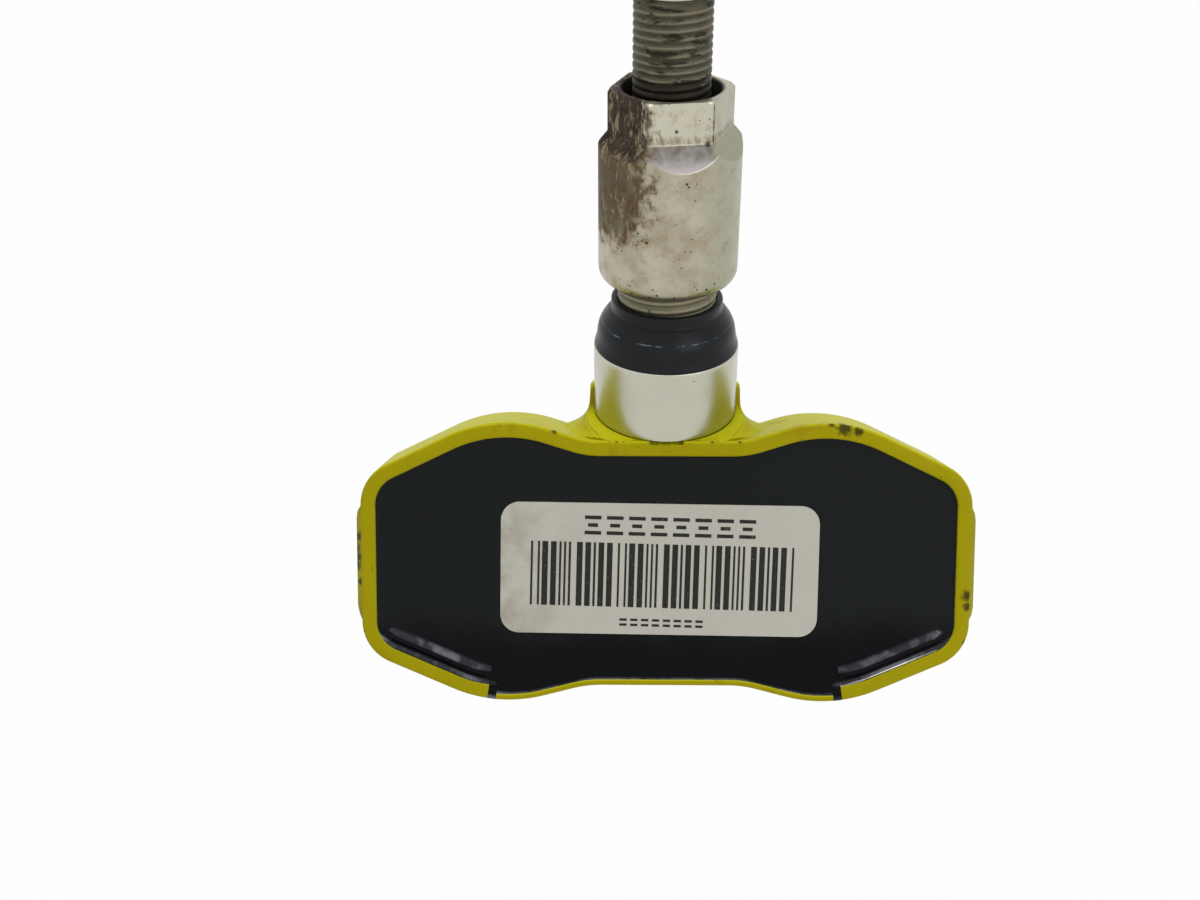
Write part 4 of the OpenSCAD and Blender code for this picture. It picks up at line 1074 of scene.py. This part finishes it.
def stem_skins(valve):
    """Collar, threads and tip of the stem as lathe points and faces, the threads with crests."""
    angles = np.linspace(0, 2 * math.pi, 160, endpoint=False)
    collar, shank, cap = valve.collar / MM, valve.shank / MM, valve.cap_thread / MM
    low, top = -12.2, -4.2
    shank_top, shank_deep = 13.0, 0.24
    cap_low, cap_top, cap_deep = 15.0, 32.0, 0.1
    tip_low, tip_top, bore, throat = 32.6, STEM_HIGH, 2.6, 1.95
    profile = [(0.6, low), (collar - 0.2, low)] + arc(collar - 0.2, low + 0.2, 0.2, -90, 0, 4)
    profile += [(collar, z) for z in np.linspace(low + 0.6, top - 0.6, 60)]
    profile += arc(collar - 0.12, top - 0.12, 0.12, 0, 90, 4) + [(shank - 0.1, top)]
    r, z = np.array(profile).T
    close = np.linspace(0, 2 * math.pi, 400, endpoint=False)
    polished = (with_air_hole(lathe(r, z, close), collar), ring_faces(len(close), len(profile)))

    rows, heights, crests = [], [], []

    def threaded(levels, crest, pitch, deep, start, end):
        for h in levels:
            radius, near = thread_radius(angles, h, crest, pitch / MM, deep, start, end)
            rows.append(radius)
            heights.append(h)
            crests.append(near)

    def plain(*rings, crest):
        for radius, h in rings:
            rows.append(np.full(len(angles), radius))
            heights.append(h)
            crests.append(np.full(len(angles), crest))

    # the shank's thread already runs at full depth under the grommet
    threaded(np.arange(top, shank_top, 0.08), shank, valve.shank_pitch, shank_deep,
             top - 5.8, shank_top + 0.2)
    plain((shank - 0.3, shank_top + 0.1), (shank - 0.8, shank_top + 0.8),
          (cap - 0.5, shank_top + 0.8), (cap - 0.5, cap_low), crest=0.3)
    threaded(np.arange(cap_low + 0.1, cap_top, 0.06), cap, valve.cap_pitch, cap_deep,
             cap_low + 0.6, cap_top - 0.1)
    plain((cap, cap_top + 0.05), (3.45, cap_top + 0.35), (3.3, cap_top + 0.45), (3.3, tip_low),
          crest=0.1)
    thread = (lathe(np.array(rows), heights, angles), ring_faces(len(angles), len(rows)),
              np.concatenate(crests))

    profile = [(3.25, tip_low), (3.36, tip_low + 0.06), (3.4, tip_low + 0.14), (3.4, tip_top - 0.5)]
    profile += arc(3.0, tip_top - 0.4, 0.4, 0, 90, 6)
    profile += [(2.95, tip_top - 0.02), (2.62, tip_top - 0.36), (bore, tip_top - 0.6),
                (bore, tip_top - 5.4), (throat, tip_top - 6.6), (throat, tip_top - 12)]
    r, z = np.array(profile).T
    tip = (lathe(r, z, angles), ring_faces(len(angles), len(profile)))
    return polished, thread, tip


def nut_skin(nut):
    """The nut in rings: rounded foot, round body, six flats that run out in slopes, mouth."""
    count = 288
    first = math.radians(NUT_TURN - 90)
    angles = first + np.linspace(0, 2 * math.pi, count, endpoint=False)
    turn = np.degrees(angles - first) % 60
    off = np.radians(np.where(turn > 30, turn - 60, turn))
    radius, flat, mouth = nut.radius / MM, nut.flats / MM / 2, nut.mouth / MM
    foot, top = NUT_LOW, NUT_HIGH
    flat_foot, run = top - 4.1, 2.35
    foot_round, shoulder = 1.5, 1.15
    heights, rounds = [], []
    for a in np.linspace(0, 90, 9):
        heights.append(foot + foot_round * (1 - math.cos(math.radians(a))))
        rounds.append(radius - foot_round + foot_round * math.sin(math.radians(a)))
    body = np.concatenate([np.linspace(foot + 1.9, flat_foot - run - 0.2, 10),
                           np.arange(flat_foot - run - 0.1, flat_foot + 0.5, 0.08),
                           np.linspace(flat_foot + 0.6, top - 1.1, 8)])
    heights += list(body)
    rounds += [radius] * len(body)
    for t in np.linspace(0, 1, 14):
        heights.append(top - 1 + t)
        rounds.append(radius - shoulder * t)
    rows = []
    for z, r in zip(heights, rounds):
        slope = flat + np.clip((flat_foot - z) / run, 0, 4) * (radius - flat)
        plane = slope / np.cos(off)
        limit = np.full(count, r)
        rows.append(smooth_min(limit, plane, 0.035))
    edge = rows[-1]
    for inset, height in ((0.05, top - 0.01), (0.12, top)):
        rows.append(edge - inset)
        heights.append(height)
    for r, z in ((mouth + 0.22, top), (mouth + 0.1, top - 0.04), (mouth + 0.02, top - 0.14),
                 (mouth, top - 0.3), (mouth, top - 3.5), (mouth, top - 7.0), (FIT, top - 7.3),
                 (FIT, foot + 0.3), (FIT + 0.3, foot), (radius - foot_round, foot)):
        rows.append(np.full(count, r))
        heights.append(z)
    return lathe(np.array(rows), heights, angles), ring_faces(count, len(rows))


def rounded_profile(corners, steps=5):
    """A profile of [radius, height, rounding] corners, with each corner rounded."""
    out = [tuple(corners[0][:2])]
    for i in range(1, len(corners) - 1):
        p, r = np.array(corners[i][:2]), corners[i][2]
        a, b = np.array(corners[i - 1][:2]), np.array(corners[i + 1][:2])
        la, lb = np.linalg.norm(a - p), np.linalg.norm(b - p)
        reach = min(r, 0.48 * la, 0.48 * lb)
        start, end = p + (a - p) / la * reach, p + (b - p) / lb * reach
        for t in np.linspace(0, 1, steps + 1):
            out.append(tuple(start * (1 - t) ** 2 + 2 * p * t * (1 - t) + end * t * t))
    out.append(tuple(corners[-1][:2]))
    return out


def grommet_skin(grommet):
    """The grommet: flange, side, the moulding edge under the shoulder's cone, and the neck."""
    angles = np.linspace(0, 2 * math.pi, 192, endpoint=False)
    flange, neck, low, top = grommet.flange / MM, grommet.neck / MM, SEAL_LOW, SEAL_HIGH
    edge, edge_z = flange - 0.68, -1.35
    corners = [(FIT, low + 0.01, 0), (flange - 0.02, low + 0.01, 0.1),
               (flange - 0.04, low + 0.18, 0.2), (edge + 0.4, low + 1.0, 0.5),
               (edge + 0.3, edge_z - 0.95, 0.5), (edge + 0.17, edge_z - 0.42, 0.3),
               (edge + 0.03, edge_z - 0.1, 0.06),
               (edge - 0.05, edge_z, 0.05), (edge - 0.12, edge_z + 0.22, 0.2),
               ((edge + neck) / 2 + 0.1, edge_z / 2 + 0.05, 0.6), (neck + 0.3, -0.16, 0.3),
               (neck, 0.06, 0.3), (neck + 0.02, top - 0.1, 0.2), (neck - 0.32, top, 0.2),
               (FIT, top - 0.08, 0)]
    r, z = np.array(rounded_profile(corners)).T
    return lathe(r, z, angles), ring_faces(len(angles), len(r))


# Operators

class TYRESENSOR_OT_tray(bpy.types.Operator):
    """Builds the moulded tray with its cradle and skirt"""
    bl_idname = "tyresensor.tray"
    bl_label = "Moulded tray"

    def execute(self, context):
        tray = context.scene.tyresensor_tray
        plastic = yellow_moulded_nylon(tray)
        points, faces = tray_shell(tray)
        shell = piece("tray_shell", points, faces, plastic, sharp=38, slot="yellow_plastic")
        points, faces = cradle_skin(tray)
        cradle = piece("tray_cradle", points, faces, plastic, sharp=50, slot="yellow_plastic")
        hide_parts("housing")
        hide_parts("housing")
        return {"FINISHED"}


class TYRESENSOR_OT_potting(bpy.types.Operator):
    """Builds the face of the potting resin"""
    bl_idname = "tyresensor.potting"
    bl_label = "Potting"

    def execute(self, context):
        scene = context.scene
        resin = black_potting_resin(scene.tyresensor_potting)
        points, faces = potting_skin(scene.tyresensor_tray, scene.tyresensor_potting)
        face = piece("potting_face", points, faces, resin, sharp=60, slot="black_potting")
        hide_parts("potting")
        return {"FINISHED"}


class TYRESENSOR_OT_label(bpy.types.Operator):
    """Builds the label's film and its plain bars"""
    bl_idname = "tyresensor.label"
    bl_label = "Label"

    def execute(self, context):
        label = context.scene.tyresensor_label
        points, faces = label_sheet(label)
        sheet = piece("label_film", points, faces, label_film_satin(label), sharp=40,
                      slot="label_film")
        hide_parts("label")
        points, faces = label_marks(label)
        piece("label_bars", points, faces, thermal_print_ink(label), slot="label_film")
        return {"FINISHED"}


class TYRESENSOR_OT_stem(bpy.types.Operator):
    """Builds the valve stem: polished collar, cut threads and tip"""
    bl_idname = "tyresensor.stem"
    bl_label = "Valve stem"

    def execute(self, context):
        valve = context.scene.tyresensor_valve
        bright, dull = bright_nickel_turned(valve), tarnished_thread_metal()
        polished, thread, tip = stem_skins(valve)
        collar = piece("stem_collar", *polished, bright, sharp=30, slot="plated_brass")
        threads = piece("stem_threads", thread[0], thread[1], dull, sharp=70, slot="plated_brass")
        crest = threads.data.attributes.new("crest", "FLOAT", "POINT")
        if len(threads.data.vertices) != len(thread[2]):
            raise RuntimeError("the thread's points were merged, so its crest values are lost")
        crest.data.foreach_set("value", thread[2])
        nose = piece("stem_tip", *tip, bright, sharp=30, slot="plated_brass")
        for part in (collar, threads, nose):
            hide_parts("valve_stem")
        return {"FINISHED"}


class TYRESENSOR_OT_grommet(bpy.types.Operator):
    """Builds the rubber grommet"""
    bl_idname = "tyresensor.grommet"
    bl_label = "Grommet"

    def execute(self, context):
        grommet = context.scene.tyresensor_grommet
        points, faces = grommet_skin(grommet)
        ring = piece("grommet_moulded", points, faces, moulded_rubber(grommet), sharp=45,
                     slot="black_rubber")
        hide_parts("grommet")
        return {"FINISHED"}


class TYRESENSOR_OT_nut(bpy.types.Operator):
    """Builds the long nut"""
    bl_idname = "tyresensor.nut"
    bl_label = "Nut"

    def execute(self, context):
        nut = context.scene.tyresensor_nut
        points, faces = nut_skin(nut)
        body = piece("nut_turned", points, faces, worn_nickel_nut(nut), body="nut", sharp=28,
                     slot="aged_nickel")
        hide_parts("nut")
        return {"FINISHED"}


class TYRESENSOR_OT_inside(bpy.types.Operator):
    """Gives the valve core and the sealed electronics their finishes"""
    bl_idname = "tyresensor.inside"
    bl_label = "Core and electronics"

    def execute(self, context):
        for node, made in INSIDE.items():
            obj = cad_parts[node]
            material = plain_finish(*made)
            if not obj.material_slots:
                obj.data.materials.append(material)
            for slot in obj.material_slots:
                slot.material = material
        return {"FINISHED"}


# node: name of the finish, two shades, metallic, roughness, grain in mm, relief, specular level
INSIDE = {
    "circuit_board": ("green_solder_mask", "#1d5a33", "#236a3d", 0.0, 0.35, 1.2, 0.1, 0.5),
    "battery_cell": ("nickel_plated_steel_can", "#b4b6b6", "#c9cbca", 1.0, 0.28, 0.6, 0.1, 0.5),
    "battery_tab_positive": ("nickel_strip", "#b9b7ad", "#cbc9c0", 1.0, 0.35, 0.4, 0.2, 0.5),
    "battery_tab_negative": ("nickel_strip_negative", "#b5b3a9", "#c7c5bc", 1.0, 0.35, 0.4, 0.2,
                             0.5),
    "pressure_sensor_chip": ("moulded_epoxy_sensor", "#232325", "#2e2e31", 0.0, 0.55, 0.2, 0.3,
                             0.4),
    "port_seal": ("silicone_rubber_red", "#87352a", "#9a4436", 0.0, 0.6, 0.8, 0.15, 0.35),
    "transmitter_chip": ("moulded_epoxy_chip", "#1c1c1e", "#29292c", 0.0, 0.5, 0.2, 0.3, 0.4),
    "motion_switch": ("tinned_can", "#a5a398", "#bab8ac", 1.0, 0.3, 0.5, 0.1, 0.5),
    "quartz_crystal": ("gold_flashed_lid", "#b9a878", "#cbbd92", 1.0, 0.3, 0.4, 0.1, 0.5),
    "lf_coil": ("enamelled_copper_winding", "#6e3a1c", "#8a4d28", 0.6, 0.35, 0.12, 0.6, 0.5),
    "loop_antenna": ("tinned_copper_strip", "#b6835a", "#c99a72", 1.0, 0.32, 0.5, 0.15, 0.5),
    "capacitors": ("ceramic_body_tan", "#94805a", "#a8946c", 0.0, 0.45, 0.3, 0.2, 0.45),
    "resistors": ("ceramic_body_black", "#26262b", "#36363c", 0.0, 0.45, 0.3, 0.2, 0.45),
    "core_barrel": ("brass_turned", "#b08c48", "#c5a25c", 1.0, 0.3, 0.3, 0.25, 0.5),
    "core_barrel_seal": ("fluoropolymer_white", "#cfcdc2", "#dedcd2", 0.0, 0.5, 0.5, 0.1, 0.4),
    "core_pin": ("brass_pin", "#bb9850", "#cdac66", 1.0, 0.28, 0.3, 0.2, 0.5),
    "core_cup_seal": ("nitrile_rubber_black", "#18181a", "#232326", 0.0, 0.6, 0.3, 0.3, 0.35),
    "core_spring": ("stainless_spring_wire", "#8f9296", "#a5a8ab", 1.0, 0.25, 0.15, 0.2, 0.5),
}


class TYRESENSOR_OT_stage(bpy.types.Operator):
    """Sets up the pale floor, the soft light and the camera"""
    bl_idname = "tyresensor.stage"
    bl_label = "Stage, light and camera"

    def execute(self, context):
        scene, stage = context.scene, context.scene.tyresensor_stage
        scene.view_settings.view_transform = "Standard"
        floor = Vector(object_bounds()[0]).z - stage.drop

        mesh = bpy.data.meshes.new("floor")
        half = 3.0
        mesh.from_pydata([(-half, -half, floor), (half, -half, floor), (half, half, floor),
                          (-half, half, floor)], [], [(0, 1, 2, 3)])
        ground = bpy.data.objects.new("floor", mesh)
        scene.collection.objects.link(ground)
        ground.data.materials.append(self.pale_floor())
        ground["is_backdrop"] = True

        world = bpy.data.worlds.new("soft_studio")
        world.use_nodes = True
        tree = world.node_tree
        tree.nodes.clear()
        seen = self.seen_directly(tree)
        soft = add_node(tree, "Background", {"Color": linear("#ffffff"), "Strength": stage.world})
        white = add_node(tree, "Background", {"Color": linear("#ffffff"), "Strength": 1.0})
        both = add_node(tree, "MixShader", {0: seen, 1: soft, 2: white})
        add_node(tree, "OutputWorld", {0: both})
        scene.world = world

        self.lamp("top_lamp", (-0.05, 0.02, 0.42), 0.16, stage.lamp)
        self.lamp("fill_lamp", (0.28, -0.34, 0.2), 0.3, stage.fill)
        self.camera(scene)
        return {"FINISHED"}

    def seen_directly(self, tree):
        """1 for camera, mirror and glass rays, which see the background white."""
        path = add_node(tree, "LightPath")
        first = add_node(tree, "Math", {
            0: path.outputs["Is Camera Ray"], 1: path.outputs["Is Glossy Ray"]},
            operation="MAXIMUM")
        return add_node(tree, "Math", {
            0: first, 1: path.outputs["Is Transmission Ray"]}, operation="MAXIMUM")

    def pale_floor(self):
        """Matt white paper: white to the camera, with a faint trace of the shadow."""
        material, tree, coords = new_material("matt_white_paper")
        grain = add_node(tree, "TexNoise", {"Vector": coords, "Scale": per_mm(0.6), "Detail": 2.0})
        bump = add_node(tree, "Bump", {"Strength": 0.05, "Distance": 0.02 * MM, "Height": grain})
        paper = add_node(tree, "BsdfDiffuse", {"Color": linear("#f6f6f4"), "Normal": bump})
        glow = add_node(tree, "Emission", {"Color": linear("#ffffff"), "Strength": 1.0})
        share = add_node(tree, "Math", {
            0: self.seen_directly(tree), 1: FLOOR_GLOW}, operation="MULTIPLY")
        both = add_node(tree, "MixShader", {0: share, 1: paper, 2: glow})
        add_node(tree, "OutputMaterial", {0: both})
        return material

    def lamp(self, name, place, size, power):
        """A square soft lamp that looks at the sensor."""
        data = bpy.data.lights.new(name, "AREA")
        data.shape = "SQUARE"
        data.size = size
        data.energy = power
        lamp = bpy.data.objects.new(name, data)
        lamp.location = place
        lamp.rotation_mode = "QUATERNION"
        lamp.rotation_quaternion = (Vector(LAMP_AIM) - Vector(place)).to_track_quat("-Z", "Y")
        bpy.context.scene.collection.objects.link(lamp)

    def camera(self, scene):
        """The camera at the photograph's place, looking down on the stem's front."""
        data = bpy.data.cameras.new("camera")
        data.sensor_width = 36.0
        data.lens = FOCAL_PIXELS / PICTURE_WIDTH * data.sensor_width
        data.clip_start, data.clip_end = 0.005, 20.0
        down, turn, roll = (math.radians(a) for a in (CAMERA_DOWN, CAMERA_ROUND, CAMERA_ROLL))
        ahead = Vector((math.sin(turn) * math.cos(down), math.cos(turn) * math.cos(down),
                        -math.sin(down)))
        right = Vector((math.cos(turn), -math.sin(turn), 0.0))
        top = right.cross(ahead)
        side = right * math.cos(roll) + top * math.sin(roll)
        top = top * math.cos(roll) - right * math.sin(roll)
        camera = bpy.data.objects.new("camera", data)
        axes = Matrix((side, top, -ahead)).transposed().to_4x4()
        camera.matrix_world = Matrix.Translation(Vector(CAMERA_PLACE) * MM) @ axes
        scene.collection.objects.link(camera)
        scene.camera = camera


class TYRESENSOR_PT_panel(bpy.types.Panel):
    """Lists the pieces of the sensor"""
    bl_label = "Tyre sensor"
    bl_idname = "TYRESENSOR_PT_panel"
    bl_space_type = "VIEW_3D"
    bl_region_type = "UI"
    bl_category = "Tyre Sensor"

    def draw(self, context):
        for operator in OPERATORS:
            self.layout.operator(operator.bl_idname, text=operator.bl_label)
        for name in GROUPS:
            box = self.layout.box()
            box.label(text=name.replace("tyresensor_", "").capitalize())
            group = getattr(context.scene, name)
            for prop in group.__annotations__:
                box.prop(group, prop)


OPERATORS = (TYRESENSOR_OT_tray, TYRESENSOR_OT_potting, TYRESENSOR_OT_label, TYRESENSOR_OT_stem,
             TYRESENSOR_OT_grommet, TYRESENSOR_OT_nut, TYRESENSOR_OT_inside, TYRESENSOR_OT_stage)
GROUPS = {
    "tyresensor_tray": TYRESENSOR_PG_tray,
    "tyresensor_potting": TYRESENSOR_PG_potting,
    "tyresensor_label": TYRESENSOR_PG_label,
    "tyresensor_valve": TYRESENSOR_PG_valve,
    "tyresensor_nut": TYRESENSOR_PG_nut,
    "tyresensor_grommet": TYRESENSOR_PG_grommet,
    "tyresensor_stage": TYRESENSOR_PG_stage,
}


def register():
    for group in GROUPS.values():
        bpy.utils.register_class(group)
    for name, group in GROUPS.items():
        setattr(bpy.types.Scene, name, bpy.props.PointerProperty(type=group))
    for operator in OPERATORS:
        bpy.utils.register_class(operator)
    bpy.utils.register_class(TYRESENSOR_PT_panel)


def unregister():
    bpy.utils.unregister_class(TYRESENSOR_PT_panel)
    for operator in reversed(OPERATORS):
        bpy.utils.unregister_class(operator)
    for name, group in GROUPS.items():
        delattr(bpy.types.Scene, name)
        bpy.utils.unregister_class(group)


def main():
    register()
    bpy.ops.tyresensor.tray()
    bpy.ops.tyresensor.potting()
    bpy.ops.tyresensor.label()
    bpy.ops.tyresensor.stem()
    bpy.ops.tyresensor.grommet()
    bpy.ops.tyresensor.nut()
    bpy.ops.tyresensor.inside()
    bpy.ops.tyresensor.stage()


if __name__ == "__main__":
    main()
